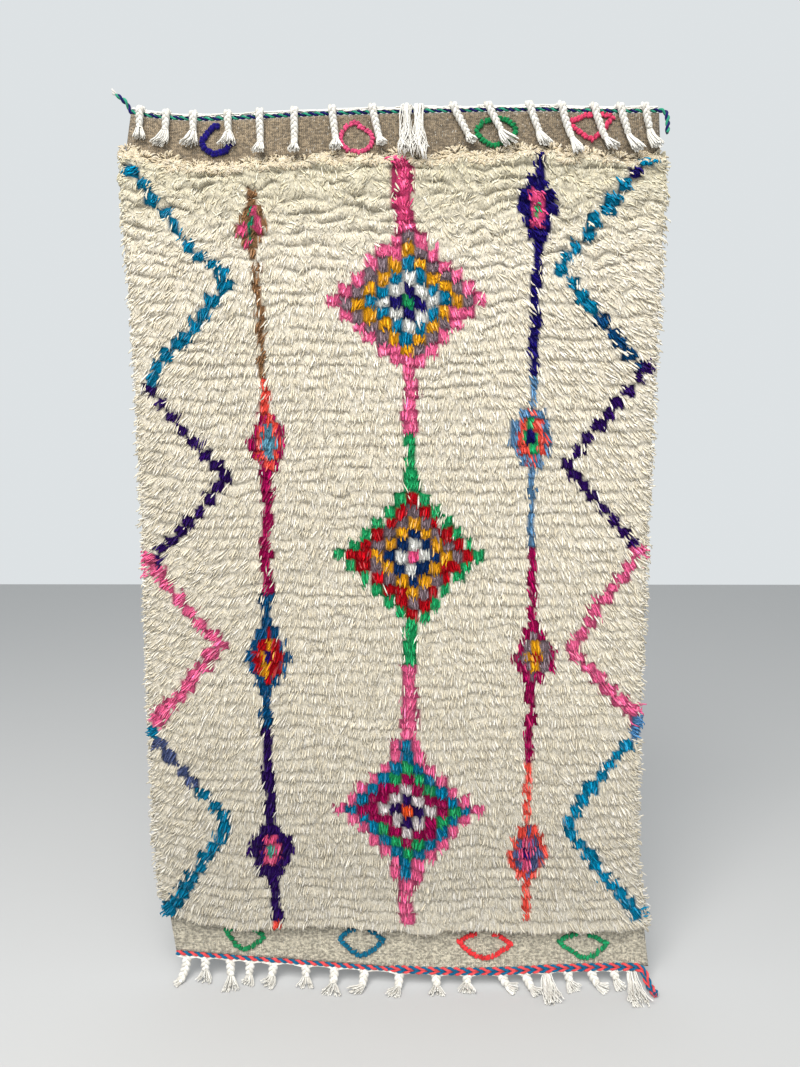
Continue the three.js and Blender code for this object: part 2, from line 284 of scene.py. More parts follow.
def wool(name, grain=900.0, depth=0.0006, sheen=0.25, rough=0.88, mottle=70.0, amount=0.12, through=0.0):
    """Yarn: each yarn's own colour, a little uneven in its dye, with a fibrous surface and the soft edge light of wool."""
    mat, nt, p = new_material(name)
    tint = node(nt, "ShaderNodeAttribute", attribute_name="tint")
    place = node(nt, "ShaderNodeTexCoord")
    dye = node(nt, "ShaderNodeTexNoise", _Scale=mottle, _Detail=3.0, _Roughness=0.6)
    nt.links.new(place.outputs["Object"], dye.inputs["Vector"])
    ramp = node(nt, "ShaderNodeMapRange")
    ramp.inputs["From Min"].default_value, ramp.inputs["From Max"].default_value = 0.3, 0.7
    ramp.inputs["To Min"].default_value, ramp.inputs["To Max"].default_value = 1.0 - amount, 1.0 + amount * 0.5
    nt.links.new(dye.outputs["Fac"], ramp.inputs["Value"])
    base = mixed(nt, "MULTIPLY", None, tint.outputs["Color"], ramp.outputs["Result"])
    nt.links.new(base, p.inputs["Base Color"])
    p.inputs["Roughness"].default_value = rough
    p.inputs["Specular IOR Level"].default_value = 0.04
    p.inputs["Sheen Weight"].default_value = sheen
    p.inputs["Subsurface Weight"].default_value = through
    p.inputs["Subsurface Radius"].default_value = (1.0, 0.92, 0.78)
    p.inputs["Subsurface Scale"].default_value = 0.004
    p.inputs["Sheen Roughness"].default_value = 0.45
    fibre = node(nt, "ShaderNodeTexNoise", _Scale=grain, _Detail=2.0, _Roughness=0.6)
    nt.links.new(place.outputs["Object"], fibre.inputs["Vector"])
    bump = node(nt, "ShaderNodeBump", _Strength=0.6, _Distance=depth)
    nt.links.new(fibre.outputs["Fac"], bump.inputs["Height"])
    nt.links.new(bump.outputs["Normal"], p.inputs["Normal"])
    return mat


def packed_wool(name):
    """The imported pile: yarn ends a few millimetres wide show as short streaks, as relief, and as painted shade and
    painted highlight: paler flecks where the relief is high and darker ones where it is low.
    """
    mat, nt, p = new_material(name)
    tint = node(nt, "ShaderNodeAttribute", attribute_name="tint")
    place = node(nt, "ShaderNodeTexCoord")
    bend = node(nt, "ShaderNodeTexNoise", _Scale=34.0, _Detail=2.0)
    nt.links.new(place.outputs["Object"], bend.inputs["Vector"])
    pull = node(nt, "ShaderNodeVectorMath", operation="MULTIPLY_ADD")
    pull.inputs[1].default_value = (0.026, 0.026, 0.026)
    nt.links.new(bend.outputs["Color"], pull.inputs[0])
    nt.links.new(place.outputs["Object"], pull.inputs[2])
    comb = node(nt, "ShaderNodeMapping")
    comb.inputs["Scale"].default_value = (290.0, 290.0, 88.0)
    nt.links.new(pull.outputs["Vector"], comb.inputs["Vector"])
    ends = node(nt, "ShaderNodeTexNoise", _Scale=1.0, _Detail=2.0, _Roughness=0.55)
    nt.links.new(comb.outputs["Vector"], ends.inputs["Vector"])
    # Painted shade: the colour follows the relief's height, darker where it is low.
    ramp = node(nt, "ShaderNodeMapRange")
    ramp.inputs["From Min"].default_value, ramp.inputs["From Max"].default_value = 0.3, 0.62
    ramp.inputs["To Min"].default_value, ramp.inputs["To Max"].default_value = 0.62, 1.1
    nt.links.new(ends.outputs["Fac"], ramp.inputs["Value"])
    nt.links.new(mixed(nt, "MULTIPLY", None, tint.outputs["Color"], ramp.outputs["Result"]), p.inputs["Base Color"])
    bump = node(nt, "ShaderNodeBump", _Strength=1.0, _Distance=0.0042)
    nt.links.new(ends.outputs["Fac"], bump.inputs["Height"])
    nt.links.new(bump.outputs["Normal"], p.inputs["Normal"])
    p.inputs["Roughness"].default_value = 0.9
    p.inputs["Specular IOR Level"].default_value = 0.04
    p.inputs["Sheen Weight"].default_value = 0.02
    p.inputs["Sheen Roughness"].default_value = 0.45
    p.inputs["Subsurface Weight"].default_value = 0.3
    p.inputs["Subsurface Radius"].default_value = (1.0, 0.92, 0.78)
    p.inputs["Subsurface Scale"].default_value = 0.004
    return mat


# ---------------------------------------------------------------- colours of the wool
CREAM = linear([[243, 235, 217], [238, 229, 209], [229, 219, 197], [247, 240, 227], [234, 223, 200]])
PINK = linear([255, 110, 160])
HOT_PINK = linear([246, 84, 140])
ROSE = linear([226, 84, 128])
TEAL = linear([0, 126, 166])
NAVY = linear([22, 12, 98])
PURPLE = linear([40, 8, 88])
INK_BLUE = linear([0, 44, 98])
GREEN = linear([34, 172, 104])
DEEP_GREEN = linear([20, 128, 92])
YELLOW = linear([240, 168, 26])
MAUVE = linear([134, 116, 124])
WHITE = linear([236, 236, 230])
PALE = linear([224, 214, 214])
RED = linear([188, 6, 22])
MAGENTA = linear([168, 8, 84])
CORAL = linear([250, 84, 70])
ORANGE = linear([252, 88, 34])
BROWN = linear([146, 108, 74])
STEEL = linear([92, 136, 176])
SKY = linear([96, 156, 180])
BLUE = linear([0, 80, 130])
SEA = linear([70, 160, 140])
SLATE = linear([84, 96, 140])
DEEP_BLUE = linear([8, 66, 116])
PERIWINKLE = linear([86, 142, 192])

# ---------------------------------------------------------------- the pattern, knot by knot
ROWS = 68

# Large lozenges: rings from the outside in, each one knot group wide, and the width of a group on the left and on the right.
LOZENGES = [
    dict(x=24, z=-400, pitch=(28.6, 26.2), rings=[PINK, MAUVE, YELLOW, TEAL, WHITE, NAVY, GREEN], swap=(5, PINK, 0.3)),
    dict(x=37, z=-982, pitch=(28.2, 24.8), rim=0.42, rings=[GREEN, RED, MAUVE, YELLOW, INK_BLUE, WHITE, HOT_PINK], swap=(4, RED, 0.22)),
    dict(x=21, z=-1579, tall=1.1, pitch=(26.0, 27.8), rings=[PINK, TEAL, GREEN, MAGENTA, PALE, PURPLE, ORANGE], swap=(4, MAGENTA, 0.38)),
]
# Lines down the rug: x drifts between the ends of each stretch.
LINES = [
    dict(z0=-104, z1=-268, x0=10, x1=20, wide=44, colour=HOT_PINK),
    dict(z0=-560, z1=-700, x0=28, x1=27, wide=34, colour=PINK),
    dict(z0=-700, z1=-832, x0=27, x1=32, wide=27, colour=GREEN),
    dict(z0=-1140, z1=-1226, x0=32, x1=28, wide=28, colour=GREEN),
    dict(z0=-1226, z1=-1412, x0=28, x1=24, wide=35, colour=PINK),
    dict(z0=-1722, z1=-1862, x0=22, x1=21, wide=38, colour=PINK),
    dict(z0=-150, z1=-580, x0=-322, x1=-299, wide=18, colour=BROWN),
    dict(z0=-580, z1=-668, x0=-299, x1=-296, wide=18, colour=CORAL),
    dict(z0=-668, z1=-1055, x0=-291, x1=-302, wide=28, colour=MAGENTA),
    dict(z0=-1055, z1=-1384, x0=-302, x1=-306, wide=31, colour=BLUE),
    dict(z0=-1384, z1=-1843, x0=-306, x1=-288, wide=26, colour=PURPLE),
    dict(z0=-1843, z1=-1890, x0=-287, x1=-287, wide=19, colour=CORAL),
    dict(z0=-104, z1=-566, x0=309, x1=304, wide=21, colour=NAVY),
    dict(z0=-566, z1=-970, x0=304, x1=306, wide=18, colour=STEEL),
    dict(z0=-970, z1=-1452, x0=309, x1=306, wide=23, colour=MAGENTA),
    dict(z0=-1452, z1=-1862, x0=303, x1=306, wide=17, colour=CORAL),
]
# Small lozenges on the two side lines: colours of the outline, the ring, the heart and the middle.
BUDS = [
    dict(x=-321, z=-240, rings=[BROWN, ROSE, ROSE, DEEP_GREEN], half=[[34, 23, 8], [29, 9, 0], [0, 0, 0], [8, 3, 0]]),
    dict(x=-292, z=-728, rings=[MAGENTA, CORAL, SKY, SKY], half=[[43, 34, 21], [29, 22, 9], [16, 12, 0], [10, 0, 0]]),
    dict(x=-300, z=-1214, rings=[BLUE, RED, YELLOW, NAVY]),
    dict(x=-300, z=-1676, rings=[PURPLE, ROSE, ROSE, SEA], half=[[54, 44, 26], [18, 14, 0], [0, 0, 0], [7, 0, 0]]),
    dict(x=306, z=-216, rings=[NAVY, HOT_PINK, HOT_PINK, GREEN], half=[[44, 35, 19], [19, 14, 0], [0, 0, 0], [7, 0, 0]]),
    dict(x=302, z=-712, rings=[STEEL, CORAL, GREEN, NAVY]),
    dict(x=316, z=-1196, rings=[MAGENTA, MAUVE, YELLOW, RED]),
    dict(x=307, z=-1692, rings=[CORAL, SLATE, ROSE, NAVY]),
]
BUD_HALF = [[51, 41, 25], [35, 27, 5], [16, 9, 0], [6, 0, 0]]
# Zigzags down each side. A few change their dye on the way.
ZIGZAGS = [
    dict(x0=-584, z0=-132, xm=-374, zm=-366, x1=-552, z1=-566, colour=TEAL),
    dict(x0=-560, z0=-588, xm=-386, zm=-800, x1=-552, z1=-972, colour=PURPLE, half=14.5),
    dict(x0=-570, z0=-992, xm=-408, zm=-1178, x1=-562, z1=-1360, colour=PINK, half=18.5),
    dict(x0=-572, z0=-1402, xm=-398, zm=-1608, x1=-556, z1=-1842, colour=TEAL, early=(1, 5, SLATE)),
    dict(x0=552, z0=-96, xm=354, zm=-337, x1=546, z1=-556, colour=TEAL, early=(1, 2, NAVY), late=(13, DEEP_BLUE)),
    dict(x0=552, z0=-562, xm=380, zm=-768, x1=540, z1=-956, colour=PURPLE, half=14.5),
    dict(x0=548, z0=-966, xm=396, zm=-1194, x1=562, z1=-1354, colour=PINK, half=18.5),
    dict(x0=562, z0=-1376, xm=396, zm=-1608, x1=574, z1=-1842, colour=1.3 * TEAL, early=(0, 2, PERIWINKLE)),
]


def pile_top(x):
    return top_z(x) - END_TOP - 3


def pile_foot(x):
    return along(PILE_FOOT, "x", "z", x)


def row_of(x, z):
    """The row that shows at this height."""
    a, b = pile_top(x), pile_foot(x)
    return (a - z) / (a - b) * ROWS - 0.5


CHANCE = np.random.default_rng(17).uniform(0, 1, (128, 64))


def pattern(i, x, rng):
    """Colour of the yarn ends of row i, and whether each is dyed."""
    return groups(i, x, rng)[:2]


def groups(i, x, rng):
    """Colour of the yarn ends of row i, whether each is dyed, and the middle of the knot group that it belongs to. A group's edge is a little uneven."""
    n = len(x)
    colour, dyed, middle = np.zeros((n, 3)), np.zeros(n, bool), np.full(n, np.nan)
    xe = x + rng.normal(0, 1.6, n) + 5.2 * noise(x / 16.0, i * 3.3, 13)

    def paint(mask, c, about=np.nan):
        colour[mask], dyed[mask] = c, True
        middle[mask] = np.broadcast_to(about, (n,))[mask]

    for q in LINES:
        i0, i1 = row_of(q["x0"], q["z0"]), row_of(q["x1"], q["z1"])
        if not i0 <= i < i1:
            continue
        f = (i - i0) / max(i1 - i0, 1)
        centre = q["x0"] + (q["x1"] - q["x0"]) * f + rng.uniform(-4, 4)
        paint(np.abs(xe - centre) < q["wide"] / 2 * rng.uniform(0.62, 1.3), q["colour"], centre)
    for q in ZIGZAGS:
        i0, im, i1 = row_of(q["x0"], q["z0"]), row_of(q["xm"], q["zm"]), row_of(q["x1"], q["z1"])
        if not i0 - 0.5 <= i <= i1 + 0.5:
            continue
        centre = np.interp(i, [i0, im, i1], [q["x0"], q["xm"], q["x1"]]) + rng.uniform(-5, 5)
        c = q["colour"]
        down = int(round(i - i0))
        if "early" in q and q["early"][0] <= down < q["early"][1]:
            c = q["early"][2]
        if "late" in q and down >= q["late"][0]:
            c = q["late"][1]
        paint(np.abs(xe - centre) < q.get("half", 16.5) + rng.uniform(-3, 3), c, centre)
    for q in BUDS:
        ic = int(round(row_of(q["x"], q["z"])))
        down = abs(i - ic)
        if down > 2:
            continue
        d = np.abs(xe - q["x"] - rng.uniform(-4, 4))
        for ring, half in zip(q["rings"], q.get("half", BUD_HALF)):
            if half[down]:
                paint(d < half[down] + rng.uniform(-2, 2), ring, q["x"] + np.round((x - q["x"]) / 19.0) * 19.0)
    for q in LOZENGES:
        ic = int(round(row_of(q["x"], q["z"])))
        down = abs(i - ic)
        if down > 7:
            continue
        about = q["x"] + 3.4 * noise(i * 1.37, q["z"] * 0.013, 29)
        pitch = np.where(xe < about, *q["pitch"])
        place = (xe - about) / pitch
        col = np.round(place)
        far = np.round(np.abs(col) + down / q.get("tall", 1.0))
        for k in range(7):
            mask = far == k
            if k == 6:
                mask = mask & (np.abs(place - col) < q.get("rim", 0.5))
            paint(mask, q["rings"][6 - k], about + col * pitch)
        ring, other, share = q["swap"]
        swapped = (far == ring) & (CHANCE[i % 128, (col.astype(int) + 32) % 64] < share)
        paint(swapped, other, about + col * pitch)
    return colour, dyed, middle


# ---------------------------------------------------------------- the pile
def wave(x, q):
    """How far the lower edge of a row wanders, in rows."""
    top = np.clip(1 - q, 0, 1.3) * (0.42 * noise(x / 36.0, 7.3, 6) + 0.2 * noise(x / 14.0, 9.1, 7))
    top = top + (1 - 0.6 * smooth_step(10, 18, q)) * (0.30 * noise(x / 31.0, q * 0.45, 8) + 0.17 * noise(x / 14.0, q * 0.5, 9))
    # The rows sag a little under the upper lozenge.
    top = top + 0.42 * np.exp(-(((x - 20) / 210.0) ** 2) - ((q - 11.5) / 8.0) ** 2)
    return 0.26 * noise(x / 62.0, q * 0.5, 3) + 0.13 * noise(x / 23.0, q * 0.9, 4) + top


def row_at(x, z):
    """Place down the pile in rows: whole numbers are the folds between rows."""
    a, b = pile_top(x), pile_foot(x)
    q = (a - z) / (a - b) * ROWS
    return q - wave(x, q)


def z_at(x, r):
    q = r + wave(x, r)
    for _ in range(3):
        q = r + wave(x, q)
    a, b = pile_top(x), pile_foot(x)
    return a + (b - a) * q / ROWS


def rolled(x, z):
    """1 where the pile is felted into rolls, near the top, and 0 where it hangs straight."""
    return 1 - smooth_step(-215, -455, z + 55 * noise(x / 150.0, z / 170.0, 5) - 30 * smooth_step(250, 500, np.abs(x)))


def fold(x, k):
    """Depth of the fold above row k, 0 to 1. Some folds close up for a stretch and the two rows merge."""
    return 0.05 + 0.95 * smooth_step(-0.30, 0.34, noise(x / 43.0, k * 1.73 + 0.4, 61))


def surface(x, z):
    """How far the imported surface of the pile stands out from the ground."""
    x, z = np.broadcast_arrays(np.asarray(x, float), np.asarray(z, float))
    r = row_at(x, z)
    k = np.floor(r)
    f = r - k
    high = rolled(x, z)
    crest = 0.78 - 0.20 * high
    deep = 5.2 - 1.8 * smooth_step(-700, -1250, z) + 3.2 * high + 1.2 * smooth_step(-1550, -1800, z) + (1.5 + 2 * high) * noise(x / 110.0, z / 80.0, 60)
    deep = np.maximum(deep, 0.2)
    above = fold(x, k) * np.clip(1 - f / crest, 0, 1) ** 1.7
    below = fold(x, k + 1) * np.clip((f - crest) / (1 - crest), 0, 1) ** 3.2
    out = 26.5 - deep * np.maximum(above, below)
    # Each roll breaks into lobes.
    lobe = noise(x / 27.0 + 0.5 * noise(x / 90.0, k * 0.9, 66), k * 2.31 + f * 0.35, 62)
    out = out - (1.4 + 6.6 * high) * np.exp(-((lobe / 0.17) ** 2)) * np.sin(np.pi * np.clip(f, 0.02, 0.98)) ** 0.5
    out = out + (1.0 + 3.2 * high) * noise(x / 25.0, r * 1.35, 63) + (1.0 + 1.0 * high) * noise(x / 10.5, r * 2.9, 65)
    out = out + 1.7 * noise(x / 150.0, z / 115.0, 64)
    # It rounds off at the two selvedges, over the flat-woven end at the top, and at its lower edge.
    t = share_down(x, z)
    inside = np.minimum(x - left_x(t), right_x(t) - x)
    rim = np.sqrt(np.clip(1 - (np.clip(17 - inside, 0, None) / 30.0) ** 2, 0, 1))
    head = np.sqrt(np.clip(1 - (np.clip(0.75 - r, 0, None) / 1.0) ** 2, 0, 1))
    foot = np.sqrt(np.clip(1 - (np.clip(r - (ROWS - 0.28), 0, None) / 0.34) ** 2, 0, 1))
    return np.maximum(out * rim * head * foot, 3.0)


def lie_at(x, z):
    """Which way the pile lies, in degrees from straight down, positive towards +X: it fans out to the selvedges."""
    u = (x - 10) / 575
    a = 11 * u + 30 * u * np.abs(u) ** 1.8
    a = a - 20 * np.exp(-(((x + 450) / 150) ** 2 + ((z + 1080) / 230) ** 2))
    a = a + 17 * smooth_step(120, 330, x) * smooth_step(-820, -420, z)
    a = a + 6 * np.exp(-(((x - 24) / 190) ** 2 + ((z + 417) / 190) ** 2))
    return a + 9 * noise(x / 95.0, z / 80.0, 11) + 6 * noise(x / 38.0, z / 34.0, 12)


def undyed(x, z, rng):
    n = len(x)
    cream = CREAM[rng.integers(0, len(CREAM), n)] * rng.uniform(0.94, 1.05, (n, 1))
    warm = smooth_step(-330, -110, z)[:, None]
    cream = cream * (1 - warm * np.array([0.15, 0.15, 0.22]))
    return cream * (1 - 0.10 * smooth_step(-1250, -1850, z)[:, None] * np.array([1.0, 0.96, 0.84]))


def pile_row(i, rng, yarns, spacing, thick, under):
    """The yarn ends of one row. The outer ones end together at the row's lower edge, the ones under them anywhere."""
    zc = float(z_at(0.0, i + 0.5))
    t = float(share_down(0.0, zc))
    xl, xr = left_x(t) - 3.0, right_x(t) + 3.0
    n = int(round((xr - xl) / spacing))
    x = xl + (np.arange(n) + 0.5 + rng.uniform(-0.5, 0.5, n)) * (xr - xl) / n
    low = float(smooth_step(-1350, -1750, zc))
    stray = 0.19 - 0.10 * low
    last = i == ROWS - 1
    start = i + (rng.uniform(-0.35, 0.72, n) if under else rng.uniform(-0.22, 0.5, n) * (0.4 if last else 1))
    stop = start + rng.uniform(0.5, 0.85, n) if under else i + 0.98 + rng.normal(0, 0.07 if last else stray, n)
    z0, end = z_at(x, start), z_at(x, np.minimum(stop, ROWS + 0.12))
    high = rolled(x, z0)
    length = np.clip(z0 - end, 9, 31) * rng.uniform(0.92, 1.1, n) * (1 - 0.3 * high)

    # Neighbouring ends cling together in locks.
    width = 12 + 12 * float(high.mean()) - 1.0 * low
    lock = ((x - xl + rng.uniform(0, width)) / width).astype(int)
    m = lock.max() + 1
    middle = (np.bincount(lock, x, m) / np.maximum(np.bincount(lock, minlength=m), 1))[lock]
    swing = rng.normal(0, 1, m)[lock]
    stand = rng.normal(0, 1, m)[lock]
    width = np.full(n, width)
    # The ends of one dyed knot group hang together as one lump.
    guess = x + 0.54 * length * np.sin(np.radians(lie_at(x, z0)))
    own, is_dyed, about = groups(i, guess, np.random.default_rng(300 + i))
    lump = is_dyed & ~np.isnan(about)
    about = np.where(lump, about, 0.0)
    middle = np.where(lump, about - (guess - x), middle)
    width = np.where(lump, 25.0, width)
    swing = np.where(lump, 1.6 * noise(about / 7.3, i * 2.9, 77), swing)
    stand = np.where(lump, 1.3 * noise(about / 5.1, i * 4.7, 78), stand)
    angle = lie_at(x, z0) + swing * (8 + 20 * high * ~lump) + rng.normal(0, 1, n) * np.where(lump, 6.0, 7 + 9 * high)
    to_left, to_right = np.clip(1 - (x - xl) / 40.0, 0, 1), np.clip(1 - (xr - x) / 40.0, 0, 1)
    angle = angle + 16 * (to_right - to_left) + rng.normal(0, 14, n) * np.maximum(to_left, to_right)
    angle = np.radians(np.clip(angle, -76, 76))

    s = np.array([0.0, 0.36, 0.72, 1.0])[None]
    px = x[:, None] + (length * np.sin(angle))[:, None] * s
    pz = z0[:, None] - (length * np.maximum(np.cos(angle), 0.3))[:, None] * s
    px = px + (middle - x)[:, None] * np.where(lump, 0.34, 0.34 + 0.22 * low)[:, None] * s**1.3 + rng.normal(0, 0.9, (n, 4)) * s
    pz = pz + rng.normal(0, 0.9, (n, 4)) * s
    crown = 1 - np.clip(np.abs(x - middle) / (width / 2), 0, 1) ** 2
    lift = np.array([-2.6, 0.4, 1.6, 1.5])[None] + (1.3 * stand + np.where(lump, 3.6, 3.0) * (crown - 0.4))[:, None] * (0.25 + 0.75 * s)
    lift = lift + rng.normal(0, 1.1, (n, 1)) * s + rng.uniform(-0.8, 3.0, (n, 1)) * s**3 * (1 - 0.8 * high[:, None])
    lift = lift * (1 - 0.5 * high * ~lump)[:, None]
    if under:
        lift = lift - 0.6
    inner = np.clip(pz, *np.sort([float(z_at(0.0, ROWS - 0.3)) - 40, 100]))
    out = surface(px, inner)
    # The tips keep their height where the surface turns in under them, at a fold or at the lower edge.
    out[:, 3] = np.maximum(out[:, 3], out[:, 2] - 2.6 - 3.0 * high)
    out[:, 2] = np.maximum(out[:, 2], out[:, 1] - 4.0)
    py = back_y(x, z0)[:, None] - 3.0 - out - lift
    # Each end's brightness varies at random; ends of locks and lumps that stand further out are also painted lighter,
    # as painted light.
    tone_and_painted_light = np.exp(rng.normal(0, 1, n) * 0.06 + 0.04 * np.clip(stand, -2, 2) - 0.01)
    dye_tone_and_painted_light = np.exp(rng.normal(-0.02, 0.26, n) + 0.10 * np.clip(stand, -2, 2))
    # Painted highlight: white is added to some dyed ends.
    pale = 0.12 * np.clip(rng.normal(-0.4, 1, n), 0, 1.6) * own.max(1)
    tint = np.where(is_dyed[:, None], own * dye_tone_and_painted_light[:, None] + pale[:, None], undyed(x, z0, rng) * np.minimum(tone_and_painted_light, 1.12)[:, None])
    wide = thick * rng.uniform(0.75, 1.25, (n, 1)) * np.array([0.75, 1.0, 1.0, 0.5])[None]
    # Painted shade: roots are painted darker, as in the shade of their neighbours, and the ends of a lump's rim more
    # than its middle; the ends under the outer ones are painted darker too, and the tips lighter than the yarn's own
    # colour, a painted highlight.
    root = np.where(is_dyed, 0.45, 0.60 + 0.14 * high)[:, None]
    shade = root + (1 - root) * np.array([0.0, 0.72, 1.06, 1.14])[None]
    shade = shade * (1 - np.where(is_dyed, 0.30, 0.10 + 0.05 * low) * (1 - crown))[:, None] * (0.84 if under else 1.0)
    yarns.add(np.stack([px, py, pz], -1), wide, tint[:, None] * shade[:, :, None], sides=3)


def selvedge(rng, yarns, i0, i1):
    """Ends that fall outwards round the two side edges."""
    n = int(15 * (i1 - i0))
    for way in (-1, 1):
        q = rng.uniform(i0, i1, n)
        x0 = np.zeros(n)
        for _ in range(3):
            z0 = z_at(x0, q)
            t = np.clip(share_down(x0, z0), 0, 1)
            x0 = left_x(t) if way < 0 else right_x(t)
        x0 = x0 - way * rng.uniform(-9, 9, n)
        z0 = z_at(x0, q)
        row = np.clip(np.floor(q).astype(int), 0, ROWS - 1)
        tint = undyed(x0, z0, rng)
        for k in np.unique(row):
            own = row == k
            c, dyed = pattern(int(k), x0[own], np.random.default_rng(300 + int(k)))
            tint[own] = np.where(dyed[:, None], c, tint[own])
        s = np.linspace(0, 1, 5)[None]
        reach = rng.uniform(9, 17, (n, 1)) * (1 - 0.35 * (np.abs(x0 - 10)[:, None] > 590))
        droop = rng.uniform(-4, 16, (n, 1))
        px = x0[:, None] + way * reach * np.sin(np.pi / 2 * s) + rng.normal(0, 0.9, (n, 5)) * s
        pz = z0[:, None] - droop * s**1.3 + rng.normal(0, 0.9, (n, 5)) * s
        out = surface(px, pz)
        out = np.maximum(out, out[:, :1] * (1 - s * rng.uniform(0.25, 0.85, (n, 1))))
        py = back_y(x0, z0)[:, None] - 3.0 - out - rng.uniform(-1, 1.6, (n, 1)) + 2.0 * (1 - s) ** 2
        wide = 1.9 * rng.uniform(0.8, 1.2, (n, 1)) * np.array([0.75, 1.0, 1.0, 0.85, 0.4])[None]
        shade = np.array([0.8, 0.92, 1.0, 1.02, 1.03])
        yarns.add(np.stack([px, py, pz], -1), wide, tint[:, None] * rng.uniform(0.9, 1.04, (n, 1, 1)) * shade[None, :, None], sides=3)


def crown_ends(rng, yarns, n):
    """The topmost ends lie every way and hide the pile's upper edge."""
    xl, xr = float(left_x(0.05)), float(right_x(0.05))
    # They spray out from the middles of clumps a few centimetres wide.
    count = 36
    cx = xl + (np.arange(count) + 0.5 + rng.uniform(-0.4, 0.4, count)) * (xr - xl) / count
    cz = z_at(cx, rng.uniform(0.1, 0.5, count)) + 8.0
    which = rng.integers(0, count, n)
    spin, far = rng.uniform(0, 2 * np.pi, n), np.sqrt(rng.uniform(0, 1, n))
    x = np.clip(cx[which] + 22 * far * np.sin(spin), xl - 4, xr + 4)
    z0 = cz[which] + 13 * far * np.cos(spin)
    upward = z0 > z_at(x, 0.42) + 4.0
    angle = np.degrees(spin) + rng.normal(0, 26, n)
    a = np.radians(angle)[:, None]
    length = rng.uniform(12, 21, (n, 1)) * (1 - 0.25 * far[:, None])
    s = np.linspace(0, 1, 5)[None]
    px = x[:, None] + length * np.sin(a) * s + rng.normal(0, 0.8, (n, 5)) * s
    pz = z0[:, None] + length * np.cos(a) * (s - 0.35 * s**2) + rng.normal(0, 0.8, (n, 5)) * s
    out = surface(px, pz)
    out = np.maximum(out, out[:, :1] * (1 - 0.55 * s))
    py = -3.0 - out - np.array([-2.0, 0.2, 0.5, 0.2, -0.6])[None] - rng.uniform(0, 0.7, (n, 1)) - 1.2 * (1 - far[:, None] ** 2)
    colour, dyed = pattern(0, x, np.random.default_rng(300))
    # Painted shade: the crown's ends are painted darker and warmer than the cream below them.
    own = undyed(x, z0, rng) * np.array([0.84, 0.78, 0.75])
    tint = np.where((dyed & ~upward)[:, None], colour, own)
    wide = 2.3 * rng.uniform(0.8, 1.2, (n, 1)) * np.array([0.75, 1.0, 1.0, 0.85, 0.45])[None]
    shade = np.array([0.98, 1.0, 1.0, 0.98, 0.96])
    yarns.add(np.stack([px, py, pz], -1), wide, tint[:, None] * shade[None, :, None], sides=3)


def make_pile(material):
    bands = 5
    pieces = []
    for k in range(bands):
        yarns = Yarns()
        if k == 0:
            crown_ends(np.random.default_rng(900), yarns, 2300)
        rows = [i for i in range(ROWS) if i * bands // ROWS == k]
        for i in rows:
            pile_row(i, np.random.default_rng(2000 + i), yarns, 7.2, 2.0, True)
            pile_row(i, np.random.default_rng(1000 + i), yarns, 5.4, 2.0, False)
        selvedge(np.random.default_rng(3000 + k), yarns, rows[0], rows[-1] + 1)
        pieces.append(yarns.mesh(f"pile_band_{k + 1}", material))
    return pieces


def make_bed(material):
    """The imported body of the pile, row by row, which the outer ends lie on."""
    cols = 168
    within = np.array([0.03, 0.2, 0.42, 0.64, 0.84, 0.96])
    r = np.concatenate([[-0.24, -0.12], (np.arange(ROWS)[:, None] + within[None]).ravel(), [ROWS + 0.04]])
    r[-2] = ROWS - 0.05
    # Closer columns where the pile turns round the selvedges.
    u = np.linspace(0, 1, cols - 7)
    edge = np.array([0.0, 0.15, 0.35, 0.6]) * u[1]
    u = np.concatenate([edge, u[1:-1], 1 - edge[::-1]])
    x = np.zeros((len(r), len(u)))
    z = np.repeat(-97 - 26 * r[:, None], len(u), 1)
    for _ in range(4):
        t = np.clip(share_down(x, z), 0, 1)
        xl, xr = left_x(t) - 12.4, right_x(t) + 12.4
        x = xl + (xr - xl) * u[None]
        z = z_at(x, r[:, None])
    out = surface(x, z)
    y = back_y(x, z) - 3.0 - out
    colour = np.zeros(x.shape + (3,))
    for k in range(len(r)):
        at = np.clip(np.floor(r[k] + 0.2 * noise(x[k] / 9.0, 3.1 * r[k], 43)).astype(int), 0, ROWS - 1)
        c, dyed, off = np.zeros((x.shape[1], 3)), np.zeros(x.shape[1], bool), np.zeros(x.shape[1])
        for i in np.unique(at):
            ci, di, mi = groups(int(i), x[k], np.random.default_rng(300 + int(i)))
            c[at == i], dyed[at == i] = ci[at == i], di[at == i]
            off[at == i] = np.abs(np.nan_to_num(x[k] - mi))[at == i]
        own = undyed(x[k], z[k], np.random.default_rng(50 + k))
        own = own * 0.35 + own.mean(0) * 0.65
        # Painted shade: the bed is painted darker than the ends that lie on it, darker still in the folds between rows
        # and more so where the pile is rolled, and dyed knot groups darker away from their middles.
        near = abs(r[k] - round(r[k]))
        crease_shade = (0.06 + 0.2 * rolled(x[k], z[k])) * math.exp(-((near / 0.09) ** 2))
        c = c * (0.78 - 0.4 * smooth_step(7, 12, off))[:, None]
        colour[k] = np.where(dyed[:, None], c, own) * (0.74 - crease_shade)[:, None]
    n, m = x.shape
    f = np.arange(n * m).reshape(n, m)
    faces = np.stack([f[:-1, :-1], f[1:, :-1], f[1:, 1:], f[:-1, 1:]], -1).reshape(-1, 4)
    me = bpy.data.meshes.new("pile_bed")
    me.from_pydata((np.stack([x, y, z], -1).reshape(-1, 3) * MM).tolist(), [], faces.tolist())
    me.polygons.foreach_set("use_smooth", np.ones(len(faces), bool))
    me.update()
    paint_points(me, colour.reshape(-1, 3))
    layer = me.uv_layers.new(name="OFBake")
    down = np.linspace(0, 1, n)[:, None] + 0 * x
    uv = np.stack([0.005 + 0.99 * np.broadcast_to(u, x.shape), 0.005 + 0.99 * (1 - down)], -1).reshape(-1, 2)
    layer.uv.foreach_set("vector", uv[faces.ravel()].astype(np.float32).ravel())
    me.materials.append(material)
    ob = bpy.data.objects.new("pile_bed", me)
    bpy.context.scene.collection.objects.link(ob)
    return ob


